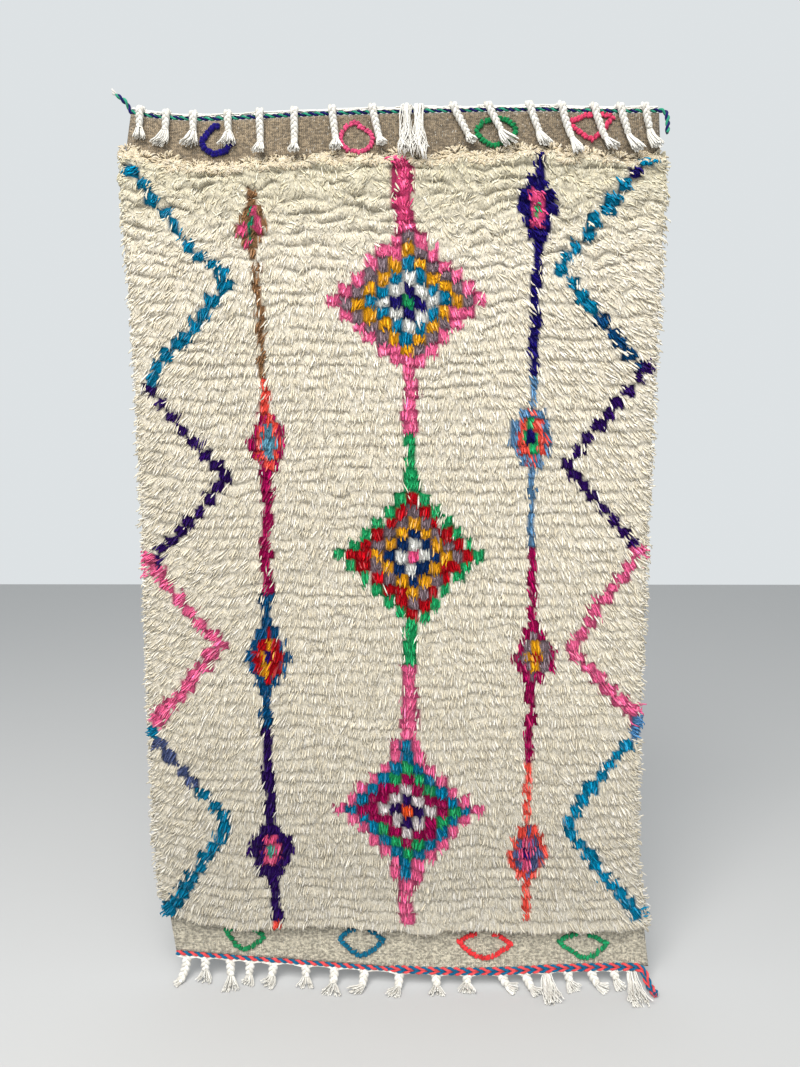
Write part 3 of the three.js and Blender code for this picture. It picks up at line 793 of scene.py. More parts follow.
# ---------------------------------------------------------------- the woven ground with its two flat ends
def make_ground(material):
    cols, rows = 64, 116
    u = np.linspace(0, 1, cols + 1)
    # Finer rows in the flat-woven ends.
    t = np.concatenate([np.linspace(0, 0.062, 16), np.linspace(0.062, 0.94, rows - 30)[1:-1], np.linspace(0.94, 1.0, 16)])
    rows = len(t) - 1
    xl, xr = left_x(t)[:, None], right_x(t)[:, None]
    x = xl + (xr - xl) * u[None]
    z = top_z(x) + (foot_z(x) - top_z(x)) * t[:, None]
    yb = back_y(x, z)
    ends = np.maximum(1 - smooth_step(0.05, 0.075, t), smooth_step(0.925, 0.95, t))[:, None]
    ripple = ends * (0.7 * noise(x / 46.0, z / 26.0, 31) + 0.35 * noise(x / 17.0, z / 12.0, 32))
    edge = np.minimum(u, 1 - u)[None] * 1150
    roll = ends * 2.8 * np.exp(-((edge - 8) / 8.0) ** 2)
    front = yb - WEB - ripple - roll
    # The back is the weave's other side, with a low uneven ripple away from the selvedges.
    back_ripple = 0.25 * noise(x / 60.0, z / 50.0, 33)
    back = yb - 0.35 + back_ripple * (np.abs(u - 0.5) < 0.48)[None]
    grid = np.stack([np.stack([x, front, z], -1), np.stack([x, back, z], -1)])
    n, m = rows + 1, cols + 1
    index = np.arange(2 * n * m).reshape(2, n, m)
    f, b = index
    quads = [
        np.stack([f[:-1, :-1], f[1:, :-1], f[1:, 1:], f[:-1, 1:]], -1).reshape(-1, 4),
        np.stack([b[:-1, :-1], b[:-1, 1:], b[1:, 1:], b[1:, :-1]], -1).reshape(-1, 4),
        np.stack([f[0, :-1], f[0, 1:], b[0, 1:], b[0, :-1]], -1),
        np.stack([f[-1, :-1], b[-1, :-1], b[-1, 1:], f[-1, 1:]], -1),
        np.stack([f[:-1, 0], b[:-1, 0], b[1:, 0], f[1:, 0]], -1),
        np.stack([f[:-1, -1], f[1:, -1], b[1:, -1], b[:-1, -1]], -1),
    ]
    faces = np.concatenate(quads)
    me = bpy.data.meshes.new("ground_weave")
    me.from_pydata((grid.reshape(-1, 3) * MM).tolist(), [], faces.tolist())
    me.polygons.foreach_set("use_smooth", np.ones(len(faces), bool))
    me.update()
    # Colour of each point: sandy at the top end, paler at the foot, and on the back the knots show through. The top end
    # is darker and the foot paler partly from the wool's own colour and partly as painted light: painted shade on the
    # top end, painted light on the foot where it bows forward.
    top_end = linear([138, 122, 99])
    foot_end = linear([208, 199, 178])
    middle = linear([216, 206, 180])
    base = np.where((t < 0.075)[:, None, None], top_end, np.where((t > 0.925)[:, None, None], foot_end, middle))
    colour = np.broadcast_to(base, (n, m, 3)).copy()
    # The top end is paler to the left and darker to the right.
    side = smooth_step(-480, 100, x)[..., None]
    colour = np.where((t < 0.075)[:, None, None], colour * (1.12 - 0.2 * side), colour)
    both = np.stack([colour, colour])
    for r in range(n):
        zc = float(z[r].mean())
        i = int(round((float(top_z(0)) - END_TOP - 5 - zc) / 26.4))
        if 0 <= i < ROWS:
            c, dyed = pattern(i, x[r], np.random.default_rng(300 + i))
            both[1, r] = np.where(dyed[:, None], c * 0.75 + 0.12, both[1, r])
    paint_points(me, both.reshape(-1, 3))
    layer = me.uv_layers.new(name="OFBake")
    uv = np.zeros((2 * n * m, 2))
    uu, vv = np.meshgrid(u, 1 - t)
    uv[: n * m] = np.stack([0.01 + 0.47 * uu, 0.01 + 0.98 * vv], -1).reshape(-1, 2)
    uv[n * m :] = np.stack([0.52 + 0.47 * (1 - uu), 0.01 + 0.98 * vv], -1).reshape(-1, 2)
    # The thin rim takes a strip of its own between the two sides.
    corner = faces.ravel()
    at = uv[corner]
    rim_from = len(quads[0]) + len(quads[1])
    rim = np.zeros((len(faces), 4, 2))
    k = np.arange(len(faces) - rim_from)
    place = k / max(len(k), 1)
    step = 1 / max(len(k), 1)
    rim[rim_from:, :, 0] = np.array([0.487, 0.487, 0.513, 0.513])[None]
    rim[rim_from:, :, 1] = place[:, None] + np.array([0, step, step, 0])[None]
    at = at.reshape(-1, 4, 2)
    at[rim_from:] = rim[rim_from:]
    layer.uv.foreach_set("vector", at.reshape(-1).astype(np.float32))
    me.materials.append(material)
    ob = bpy.data.objects.new("ground_weave", me)
    bpy.context.scene.collection.objects.link(ob)
    return ob


def weave_material():
    """Weft-faced weave: packed wefts run across, over warps a few millimetres apart."""
    mat, nt, p = new_material("flat_weave")
    tint = node(nt, "ShaderNodeAttribute", attribute_name="tint")
    place = node(nt, "ShaderNodeTexCoord")
    sep = node(nt, "ShaderNodeSeparateXYZ")
    nt.links.new(place.outputs["Object"], sep.inputs[0])

    def math_node(op, a, b=None):
        n = node(nt, "ShaderNodeMath", operation=op)
        for k, value in enumerate((a, b)):
            if value is None:
                continue
            if isinstance(value, bpy.types.NodeSocket):
                nt.links.new(value, n.inputs[k])
            else:
                n.inputs[k].default_value = value
        return n.outputs[0]

    wander = node(nt, "ShaderNodeTexNoise", _Scale=26.0, _Detail=2.0)
    nt.links.new(place.outputs["Object"], wander.inputs["Vector"])
    drift = math_node("MULTIPLY", wander.outputs["Fac"], 0.010)
    z = math_node("ADD", sep.outputs["Z"], drift)
    weft = math_node("SINE", math_node("MULTIPLY", z, 2 * math.pi / 0.0030))
    warp = math_node("SINE", math_node("MULTIPLY", math_node("ADD", sep.outputs["X"], drift), 2 * math.pi / 0.0044))
    cross = math_node("MULTIPLY", weft, warp)
    height = math_node("ADD", math_node("MULTIPLY", weft, 0.35), math_node("MULTIPLY", cross, 0.65))
    grain = node(nt, "ShaderNodeTexNoise", _Scale=420.0, _Detail=2.0, _Roughness=0.6)
    nt.links.new(place.outputs["Object"], grain.inputs["Vector"])
    height = math_node("ADD", height, math_node("MULTIPLY", grain.outputs["Fac"], 1.6))
    knobs = node(nt, "ShaderNodeMapping")
    knobs.inputs["Scale"].default_value = (148.0, 148.0, 200.0)
    nt.links.new(place.outputs["Object"], knobs.inputs["Vector"])
    lumps = node(nt, "ShaderNodeTexNoise", _Scale=1.0, _Detail=1.5, _Roughness=0.5)
    nt.links.new(knobs.outputs["Vector"], lumps.inputs["Vector"])
    height = math_node("ADD", height, math_node("MULTIPLY", lumps.outputs["Fac"], 3.4))
    bump = node(nt, "ShaderNodeBump", _Strength=1.0, _Distance=0.0017)
    nt.links.new(height, bump.inputs["Height"])
    nt.links.new(bump.outputs["Normal"], p.inputs["Normal"])
    # Each weft's colour wanders, as the wool is undyed.
    streak = node(nt, "ShaderNodeMapping")
    streak.inputs["Scale"].default_value = (30.0, 30.0, 360.0)
    nt.links.new(place.outputs["Object"], streak.inputs["Vector"])
    run = node(nt, "ShaderNodeTexNoise", _Scale=1.0, _Detail=2.0)
    nt.links.new(streak.outputs["Vector"], run.inputs["Vector"])
    tone = node(nt, "ShaderNodeMapRange")
    tone.inputs["From Min"].default_value, tone.inputs["From Max"].default_value = 0.3, 0.7
    tone.inputs["To Min"].default_value, tone.inputs["To Max"].default_value = 0.84, 1.12
    nt.links.new(run.outputs["Fac"], tone.inputs["Value"])
    # Partly the wool's own speckle, partly painted shade: the weave is painted darker where its lumps are low and paler
    # where they are high.
    pit_shade_and_speckle = node(nt, "ShaderNodeMapRange")
    pit_shade_and_speckle.inputs["From Min"].default_value, pit_shade_and_speckle.inputs["From Max"].default_value = 0.36, 0.64
    pit_shade_and_speckle.inputs["To Min"].default_value, pit_shade_and_speckle.inputs["To Max"].default_value = 0.58, 1.33
    nt.links.new(lumps.outputs["Fac"], pit_shade_and_speckle.inputs["Value"])
    base = mixed(nt, "MULTIPLY", None, tint.outputs["Color"], tone.outputs["Result"])
    base = mixed(nt, "MULTIPLY", None, base, pit_shade_and_speckle.outputs["Result"])
    # Short lengths of warp show between the wefts.
    ticks = node(nt, "ShaderNodeMapping")
    ticks.inputs["Scale"].default_value = (380.0, 380.0, 120.0)
    nt.links.new(place.outputs["Object"], ticks.inputs["Vector"])
    warps = node(nt, "ShaderNodeTexNoise", _Scale=1.0, _Detail=1.0)
    nt.links.new(ticks.outputs["Vector"], warps.inputs["Vector"])
    show = node(nt, "ShaderNodeMapRange")
    show.inputs["From Min"].default_value, show.inputs["From Max"].default_value = 0.66, 0.76
    show.inputs["To Min"].default_value, show.inputs["To Max"].default_value = 0.0, 0.55
    nt.links.new(warps.outputs["Fac"], show.inputs["Value"])
    base = mixed(nt, "MIX", show.outputs["Result"], base, (0.78, 0.76, 0.70, 1))
    nt.links.new(base, p.inputs["Base Color"])
    p.inputs["Roughness"].default_value = 0.92
    p.inputs["Specular IOR Level"].default_value = 0.2
    p.inputs["Sheen Weight"].default_value = 0.15
    return mat


# ---------------------------------------------------------------- the knotted loops on the flat-woven ends
# Each is a line of short knots on the face: its corners from its middle, its colour and its thickness.
LOOPS = [
    dict(x=-395, z=-56, thick=5.3, colour=NAVY, closed=False, line=[[4, 28], [-10, 29], [-21, 16], [-33, 4], [-37, -7], [-29, -20], [-16, -28], [-4, -30], [10, -25], [21, -21], [28, -11], [37, -3]]),
    dict(x=-91, z=-51, thick=3.9, colour=0.8 * ROSE, closed=True, line=[[-35, 2], [-28, 16], [-16, 26], [0, 31], [13, 21], [28, 12], [37, -1], [33, -16], [23, -26], [0, -31], [-21, -26], [-31, -14]]),
    dict(x=217, z=-41, thick=4.3, colour=linear([20, 116, 66]), closed=True, line=[[-44, -2], [-39, 12], [-29, 22], [-14, 26], [4, 29], [24, 24], [36, 16], [43, 3], [33, -12], [12, -21], [-5, -28], [-19, -24], [-33, -11]]),
    dict(x=422, z=-30, thick=4.1, colour=linear([200, 60, 94]), closed=True, line=[[-49, 5], [-37, 14], [-23, 20], [-8, 24], [8, 26], [25, 26], [41, 25], [48, 19], [39, 8], [29, -6], [16, -19], [3, -27], [-8, -21], [-21, -10], [-37, -2]]),
    dict(x=-370, z=-1907, thick=3.9, colour=linear([28, 138, 84]), closed=False, line=[[-28, 23], [-48, 21], [-38, 6], [-20, -17], [-2, -26], [12, -23], [34, -7], [49, 4], [40, 13], [26, 21], [20, 25]]),
    dict(x=-87, z=-1910, thick=4.0, colour=linear([14, 104, 136]), closed=False, line=[[-14, 30], [-19, 29], [-36, 22], [-54, 7], [-40, -6], [-21, -24], [-2, -31], [12, -27], [31, -16], [54, 4], [31, 20], [17, 29]]),
    dict(x=209, z=-1915, thick=4.4, colour=linear([232, 58, 62]), closed=False, line=[[-18, 35], [-23, 33], [-44, 22], [-64, 9], [-44, -11], [-22, -27], [-5, -34], [12, -32], [29, -25], [47, -11], [64, 5], [47, 17], [29, 31], [20, 33]]),
    dict(x=446, z=-1917, thick=4.3, colour=linear([30, 146, 92]), closed=False, line=[[-12, 32], [-23, 32], [-41, 24], [-59, 12], [-49, 2], [-32, -12], [-10, -30], [7, -32], [28, -25], [48, -7], [59, 5], [48, 12], [28, 25], [11, 31]]),
]
for q in LOOPS[6:]:
    q["line"] = [[a, 0.81 * b - 2.0] for a, b in q["line"]]
    q["thick"] = 3.9


def make_loops(material):
    yarns = Yarns()
    for number, q in enumerate(LOOPS):
        rng = np.random.default_rng(700 + number)
        ring = np.array(q["line"] + (q["line"][:1] if q["closed"] else []), float)
        d = np.concatenate([[0], np.cumsum(np.linalg.norm(np.diff(ring, axis=0), axis=1))])
        count = int(d[-1] / 7.6)
        at = (np.arange(count) + 0.5) / count * d[-1]
        cx = q["x"] + np.interp(at, d, ring[:, 0]) + rng.normal(0, 0.9, count)
        cz = q["z"] + np.interp(at, d, ring[:, 1]) + rng.normal(0, 0.9, count)
        turn = np.arctan2(np.interp(at + 3, d, ring[:, 1]) - np.interp(at - 3, d, ring[:, 1]), np.interp(at + 3, d, ring[:, 0]) - np.interp(at - 3, d, ring[:, 0]))
        for part, lift in ((-1, 0.0), (1, 0.7)):
            a = turn + 0.6 + rng.normal(0, 0.14, count) + part * 0.2
            s = np.linspace(-1, 1, 5)
            half = rng.uniform(4.4, 5.4, count)
            px = cx[:, None] + np.cos(a)[:, None] * half[:, None] * s[None] + part * 0.42 * q["thick"] * -np.sin(turn)[:, None]
            pz = cz[:, None] + np.sin(a)[:, None] * half[:, None] * s[None] + part * 0.42 * q["thick"] * np.cos(turn)[:, None]
            py = back_y(px, pz) - WEB - 0.6 - (2.6 + lift) * (1 - s[None] ** 2)
            radius = q["thick"] * 0.92 * np.sqrt(np.clip(1 - 0.75 * s**2, 0.1, 1))[None] * rng.uniform(0.9, 1.12, (count, 1))
            tone = q["colour"][None, None] * rng.uniform(0.62, 1.22, (count, 1, 1)) * np.ones((1, 5, 1))
            yarns.add(np.stack([px, py, pz], -1), radius, tone, sides=5)
    return yarns.mesh("kilim_loops", material)


# ---------------------------------------------------------------- the twined and plaited cords
def path_frames(path, side):
    t, s, b = frames(path[None], side)
    return t[0], s[0], b[0]


def twined(yarns, line, radius, pitch, colours, ply_sides=6, side=(0, 1, 0), taper=None):
    """Two or more yarns laid round each other along a line."""
    _, s, b = path_frames(line, side)
    run = np.concatenate([[0], np.cumsum(np.linalg.norm(np.diff(line, axis=0), axis=1))])
    r = np.broadcast_to(radius if taper is None else radius * taper, (len(line),))
    for k, c in enumerate(colours):
        a = 2 * np.pi * (run / pitch + k / len(colours))
        p = line + (r * (0.58 if pitch == 27.5 else 0.5))[:, None] * (np.cos(a)[:, None] * s + np.sin(a)[:, None] * b)
        tone = c[None, None] * (1 + 0.12 * np.sin(run / 3.1 + k))[None, :, None]
        yarns.add(p[None], (r * 0.54)[None], tone, sides=ply_sides, side=side)


CORD_GREEN, CORD_NAVY = linear([44, 136, 110]), linear([22, 22, 88])
CORD_RED, CORD_BLUE = linear([232, 80, 84]), linear([20, 100, 140])
CORD_TOP_Y = -WEB / 2 - 1.2


def cord_top_z(x):
    return top_z(x) + CORD_TOP_R + GAP


def cord_foot_z(x):
    return foot_z(x) - CORD_FOOT_R - GAP


def cord_foot_y(x):
    return back_y(x, foot_z(x)) - WEB / 2


def make_cord_top(material):
    yarns = Yarns()
    tail = [[-614, -14, 37], [-603, -12, 29], [-592, -8, 19]]
    run = [[x, CORD_TOP_Y, float(cord_top_z(x))] for x in np.linspace(-586, 573, 40)]
    xc, zc = 573.0, float(cord_top_z(573))
    turn = [[xc + x, CORD_TOP_Y - f, zc + z] for x, f, z in ((9, 1, -1), (15, 4, -8), (17, 7, -20), (17, 10, -36), (16, 12, -52))]
    line, length = resampled(tail + run + turn, 520)
    s = np.linspace(0, length, len(line))
    taper = 1 + 0.18 * smooth_step(length - 70, length - 40, s) + 0.05 * np.sin(s / 17.0) + 0.04 * np.sin(s / 6.1)
    taper = taper * (1 + 0.28 * np.exp(-((s - 20) / 6) ** 2) + 0.2 * np.exp(-((s - 44) / 6) ** 2))
    twined(yarns, line, CORD_TOP_R, 27.0, [CORD_NAVY, CORD_GREEN], ply_sides=6, taper=taper)
    # Pale frayed end of the tail.
    rng = np.random.default_rng(61)
    n = 14
    q = np.linspace(0, 1, 5)
    ang, rad = rng.uniform(0, 2 * np.pi, n), rng.uniform(0.5, 1, n)
    ax = unit(np.array([-1.0, -0.15, 0.62]))
    sd, up = np.array([0, 1.0, 0]), unit(np.cross(ax, [0, 1.0, 0]))
    spread = (1.6 + 4.2 * q**1.3)[None] * rad[:, None]
    p = (line[0] - ax * 3)[None, None] + ax * (q * 15)[None, :, None] * rng.uniform(0.7, 1.05, (n, 1, 1))
    p = p + (spread * np.cos(ang)[:, None])[..., None] * sd + (spread * np.sin(ang)[:, None])[..., None] * up
    yarns.add(p, 0.85, linear([206, 202, 196])[None, None] * np.ones((n, 5, 1)), sides=4, side=(0, 1, 0))
    return yarns.mesh("cord_top_twined", material)


def make_cord_foot(material):
    yarns = Yarns()
    run = [[x, float(cord_foot_y(x)), float(cord_foot_z(x))] for x in np.linspace(-537, 576, 40)]
    xc, yc = 602.0, float(cord_foot_y(602))
    tail = [[xc + x, yc - f, FLOOR_Z + u] for x, f, u in ((-13, 5, 34), (-8, 15, 20), (-4, 27, 11.5), (1, 48, 9.2))]
    line, length = resampled(run + tail, 520)
    _, s, b = path_frames(line, (0, 1, 0))
    x = line[:, 0]
    arc = np.linspace(0, length, len(line))
    single = x < -24
    left = line[single] + np.array([0, -0.8, 0])
    fat = 1 + 0.06 * np.sin(arc[single] / 9.0) + 0.05 * np.sin(arc[single] / 4.1)
    twined(yarns, left, CORD_FOOT_R * 1.12, 29.0, [CORD_RED, CORD_BLUE], ply_sides=7, taper=fat)
    for way in (-1, 1):
        pair = x > -40
        grow = smooth_step(-40, 6, x[pair])
        mid = line[pair] + np.array([0, -2.6, 1.4]) * grow[:, None] + b[pair] * (4.3 * way * (0.15 + 0.85 * grow))[:, None]
        mid[:, 2] = np.maximum(mid[:, 2], FLOOR_Z + 6.0)
        fat = 0.93 * (0.7 + 0.3 * grow) * (1 + 0.07 * np.sin(arc[pair] / 7.0 + way) + 0.05 * np.sin(arc[pair] / 17.0))
        twined(yarns, mid, CORD_FOOT_R * 1.08, 31.0 * way, [CORD_BLUE, CORD_RED], ply_sides=6, taper=fat)
    rng = np.random.default_rng(62)
    n = 16
    q = np.linspace(0, 1, 5)
    ang, rad = rng.uniform(0, 2 * np.pi, n), rng.uniform(0.4, 1, n)
    ax = unit(line[-1] - line[-6])
    sd = np.array([1.0, 0, 0])
    up = unit(np.cross(ax, sd))
    spread = (5.0 + 2.0 * q)[None] * rad[:, None]
    p = (line[-1] - ax * 5)[None, None] + ax * (q * 13)[None, :, None] * rng.uniform(0.7, 1.05, (n, 1, 1))
    p = p + (spread * np.cos(ang)[:, None])[..., None] * sd + (spread * np.sin(ang)[:, None])[..., None] * up
    p[..., 2] = np.maximum(p[..., 2], FLOOR_Z + 1.4)
    tone = np.where((np.arange(n) % 4 == 0)[:, None], CORD_RED, CORD_BLUE)[:, None] * np.ones((1, 5, 1))
    yarns.add(p, 1.3, tone, sides=4, side=(0, 0, 1))
    return yarns.mesh("cord_foot_plaited", material)


# ---------------------------------------------------------------- the tassels
WARP = linear([[230, 227, 219], [220, 216, 207], [238, 236, 230]])
# kick is how far the brush swings along X, and flare how wide it opens.
TASSELS_TOP = [
    dict(x=-563, lean=-4, drop=62, kick=0, flare=13, plait=0.70),
    dict(x=-506, lean=-5, drop=68, kick=-12, flare=17, plait=0.62),
    dict(x=-447, lean=-1, drop=66, kick=-10, flare=18, plait=0.62),
    dict(x=-372, lean=3, drop=66, kick=-4, flare=19, plait=0.66),
    dict(x=-302, lean=2, drop=90, kick=-4, flare=12, plait=0.76),
    dict(x=-226, lean=0, drop=94, kick=0, flare=11, plait=0.80),
    dict(x=-144, lean=12, drop=90, kick=-2, flare=14, plait=0.78),
    dict(x=-56, lean=20, drop=82, kick=3, flare=11, plait=0.84),
    dict(x=20, lean=-6, drop=112, kick=0, flare=14, plait=0.0),
    dict(x=47, lean=-2, drop=118, kick=0, flare=14, plait=0.0),
    dict(x=120, lean=44, drop=78, kick=-2, flare=13, plait=0.74),
    dict(x=196, lean=48, drop=84, kick=4, flare=19, plait=0.66),
    dict(x=286, lean=36, drop=88, kick=2, flare=15, plait=0.68),
    dict(x=356, lean=36, drop=108, kick=2, flare=13, plait=0.68),
    dict(x=427, lean=38, drop=96, kick=2, flare=15, plait=0.72),
    dict(x=484, lean=36, drop=100, kick=2, flare=13, plait=0.58),
    dict(x=539, lean=22, drop=94, kick=3, flare=14, plait=0.52),
]
TASSELS_FOOT = [
    dict(x=-511, tip=-534, out=42, kick=0, flare=7, plait=0.92),
    dict(x=-466, tip=-470, out=30, kick=0, flare=18, plait=0.55),
    dict(x=-405, tip=-396, out=60, kick=0, flare=19, plait=0.52),
    dict(x=-357, tip=-363, out=40, kick=0, flare=14, plait=0.58),
    dict(x=-300, tip=-313, out=48, kick=-3, flare=16, plait=0.55),
    dict(x=-221, tip=-222, out=50, kick=0, flare=18, plait=0.52),
    dict(x=-152, tip=-158, out=74, kick=0, flare=20, plait=0.58),
    dict(x=-80, tip=-90, out=72, kick=-16, flare=15, plait=0.62),
    dict(x=4, tip=-3, out=80, kick=-8, flare=16, plait=0.60),
    dict(x=92, tip=93, out=74, kick=0, flare=17, plait=0.55),
    dict(x=166, tip=163, out=66, kick=0, flare=19, plait=0.45),
    dict(x=248, tip=280, out=62, kick=2, flare=15, plait=0.55),
    dict(x=306, tip=330, out=74, kick=2, flare=13, plait=0.66),
    dict(x=357, tip=362, out=104, kick=0, flare=31, plait=0.0),
    dict(x=408, tip=420, out=60, kick=0, flare=18, plait=0.5),
    dict(x=464, tip=494, out=62, kick=2, flare=13, plait=0.62),
    dict(x=520, tip=532, out=54, kick=0, flare=12, plait=0.45),
    dict(x=562, tip=566, out=107, kick=0, flare=34, plait=0.0),
]


def tassel(yarns, line, q, rng, half, bump_out, lowest=None):
    """One tassel along a line of 80 points: a plait of three strands, then a loose brush. With no plait it is a loose bunch all the way."""
    run = np.concatenate([[0], np.cumsum(np.linalg.norm(np.diff(line, axis=0), axis=1))])
    total = run[-1]
    _, s, b = path_frames(line, (1, 0, 0))

    def place(at):
        pick = lambda a: np.stack([np.interp(at, run, a[:, k]) for k in range(3)], -1)
        return pick(line), pick(s), pick(b)

    foot = lowest is not None
    cut = total * q["plait"] * (0.9 if foot else 1.0)
    if cut > 0:
        count = max(12, int(cut / 2.3))
        at = np.linspace(0, cut, count)
        c, e, g = place(at)
        gather = 1.0 + 0.25 * np.exp(-at / 8.0) - 0.22 * smooth_step(cut * 0.55, cut, at)
        squash = 0.6 + 0.4 * smooth_step(0, 9, at)
        period = 33.0
        for k in range(3):
            a = 2 * np.pi * (at / period + k / 3) + q["x"]
            p = c + (half * 0.60 * gather * np.sin(a))[:, None] * e + (half * 0.36 * squash * np.sin(2 * a))[:, None] * g
            if foot:
                p[:, 2] = np.maximum(p[:, 2], lowest + half * 0.42)
            # Painted shade: each plait strand is painted darker and lighter as it turns round the plait, and the top
            # plaits are painted darker than the foot ones.
            tone = WARP[k][None, None] * ((0.92 if foot else 0.84) + 0.1 * np.cos(2 * a + 0.6) + 0.05 * np.sin(at / 1.9 + k))[None, :, None]
            yarns.add(p[None], (half * 0.41 * (0.82 + 0.18 * gather) * (1 + 0.06 * np.sin(at / 2.4 + k)))[None], tone, sides=7)
    n = 40 if cut == 0 else (38 if foot else 46)
    m = 13 if cut == 0 else 6
    sp = np.linspace(0, 1, m)
    at = cut - (4 if cut > 0 else 0) + (total - cut + (4 if cut > 0 else 0)) * sp[None] * rng.uniform(0.82, 1.04, (n, 1))
    at = np.clip(at, 0, None)
    over = np.clip(at - total, 0, None)
    c, e, g = place(np.clip(at, 0, total))
    end_way = unit(line[-1] - line[-8])
    c = c + over[..., None] * end_way
    ang, rad = rng.uniform(0, 2 * np.pi, n), np.sqrt(rng.uniform(0.1, 1, n))
    if cut > 0:
        wider = 1.28 if foot else 1.15
        open_up = 3.6 + (q["flare"] * wider - 3.6) * sp ** rng.uniform(0.62, 0.95)
        wave = 0.8 * np.sin(sp[None] * rng.uniform(3, 7, (n, 1)) + rng.uniform(0, 6, (n, 1))) * sp[None]
        across = np.cos(ang)[:, None] * rad[:, None] * open_up[None] + wave + q["kick"] * sp[None] ** 1.4
        out = np.sin(ang)[:, None] * rad[:, None] * open_up[None] * 0.55
        thick = 1.4 if foot else 1.45
    else:
        open_up = (9.0 if foot else 9.6) + 2.0 * np.sin(sp * 5.2 + q["x"]) + (q["flare"] * (0.74 if foot else 0.8) - 7.0) * sp ** (0.8 if foot else 1.4)
        wave = ((3.0 if foot else 7.0) * np.sin(sp[None] * rng.uniform(4, 9, (n, 1)) + rng.uniform(0, 6, (n, 1))) + 1.2 * np.sin(sp[None] * rng.uniform(14, 22, (n, 1)))) * (0.25 + sp[None])
        across = np.cos(ang)[:, None] * rad[:, None] * open_up[None] + wave
        out = np.sin(ang)[:, None] * rad[:, None] * open_up[None] * 0.4
        thick = 1.4 if foot else 0.95
    p = c + across[..., None] * e + (out + bump_out * sp[None] ** 2)[..., None] * g
    if lowest is not None:
        p[..., 2] = np.maximum(p[..., 2], lowest + 1.2 + rng.uniform(0, 3.0, (n, 1)))
    tone = WARP[rng.integers(0, 3, n)][:, None] * rng.uniform(0.93, 1.03, (n, 1, 1)) * np.ones((1, m, 1))
    yarns.add(p, thick * np.ones((n, m)) * rng.uniform(0.85, 1.15, (n, 1)), tone, sides=3)
    if cut > 0:
        # The knot or wrap where the brush leaves the plait.
        c0, e0, g0 = place(np.array([cut]))
        a = np.linspace(0, 2 * np.pi, 13)
        ring = c0 + (half * 0.62 * np.cos(a))[:, None] * e0 + (half * 0.5 * np.sin(a))[:, None] * g0
        yarns.add(ring[None], 1.3, WARP[1][None, None] * np.ones((1, 13, 1)), sides=5, side=(0, 0, 1))


def heading(yarns, stations, z_of, y_of, rng, up):
    """Warps that run along the edge from one tassel to the next and gather at each root, as a small web."""
    foot = up < 0
    for q in stations:
        n, m = (15, 8) if foot else (14, 9)
        sp = np.linspace(0, 1, m)
        way = np.where(np.arange(n) % 2 == 0, 1.0, -1.0)
        reach = rng.uniform(7, 28, n) if foot else rng.uniform(16, 50, n)
        x = q["x"] + way[:, None] * (reach[:, None] * (1 - sp[None]) ** 1.15 + (3.0 if foot else 0.0))
        x = np.clip(x, *q["clip"])
        zc = z_of(x)
        sink = 5.2 * sp[None] ** 1.6 if foot else 2.2 * sp[None] ** 3
        z = zc + up * ((rng.uniform(-1.3, 1.5, (n, 1))) * (1 - 0.4 * sp[None]) + sink)
        y = y_of(x) + (rng.uniform(-2.4, 1.2, (n, 1)) if foot else rng.uniform(-5.4, 1.0, (n, 1))) - (1.2 * sp[None] if foot else 0)
        tone = WARP[rng.integers(0, 3, n)][:, None] * np.ones((1, m, 1))
        yarns.add(np.stack([x, y, z], -1), (1.6 if foot else 1.3) * np.ones((n, m)), tone, sides=4, side=(0, 1, 0))


def strip(yarns, z_of, y_of, x0, x1, rng):
    """The twined strip of warps itself."""
    x = np.linspace(x0, x1, 300)
    for k in range(3):
        a = 2 * np.pi * (x / 13.0 + k / 3)
        p = np.stack([x, y_of(x) + 1.5 * np.cos(a), z_of(x) + 1.0 * np.sin(a)], -1)
        yarns.add(p[None], 1.35 * (1 + 0.15 * np.sin(x / 19.0 + k))[None], WARP[k][None, None] * np.ones((1, 300, 1)), sides=5, side=(0, 1, 0))


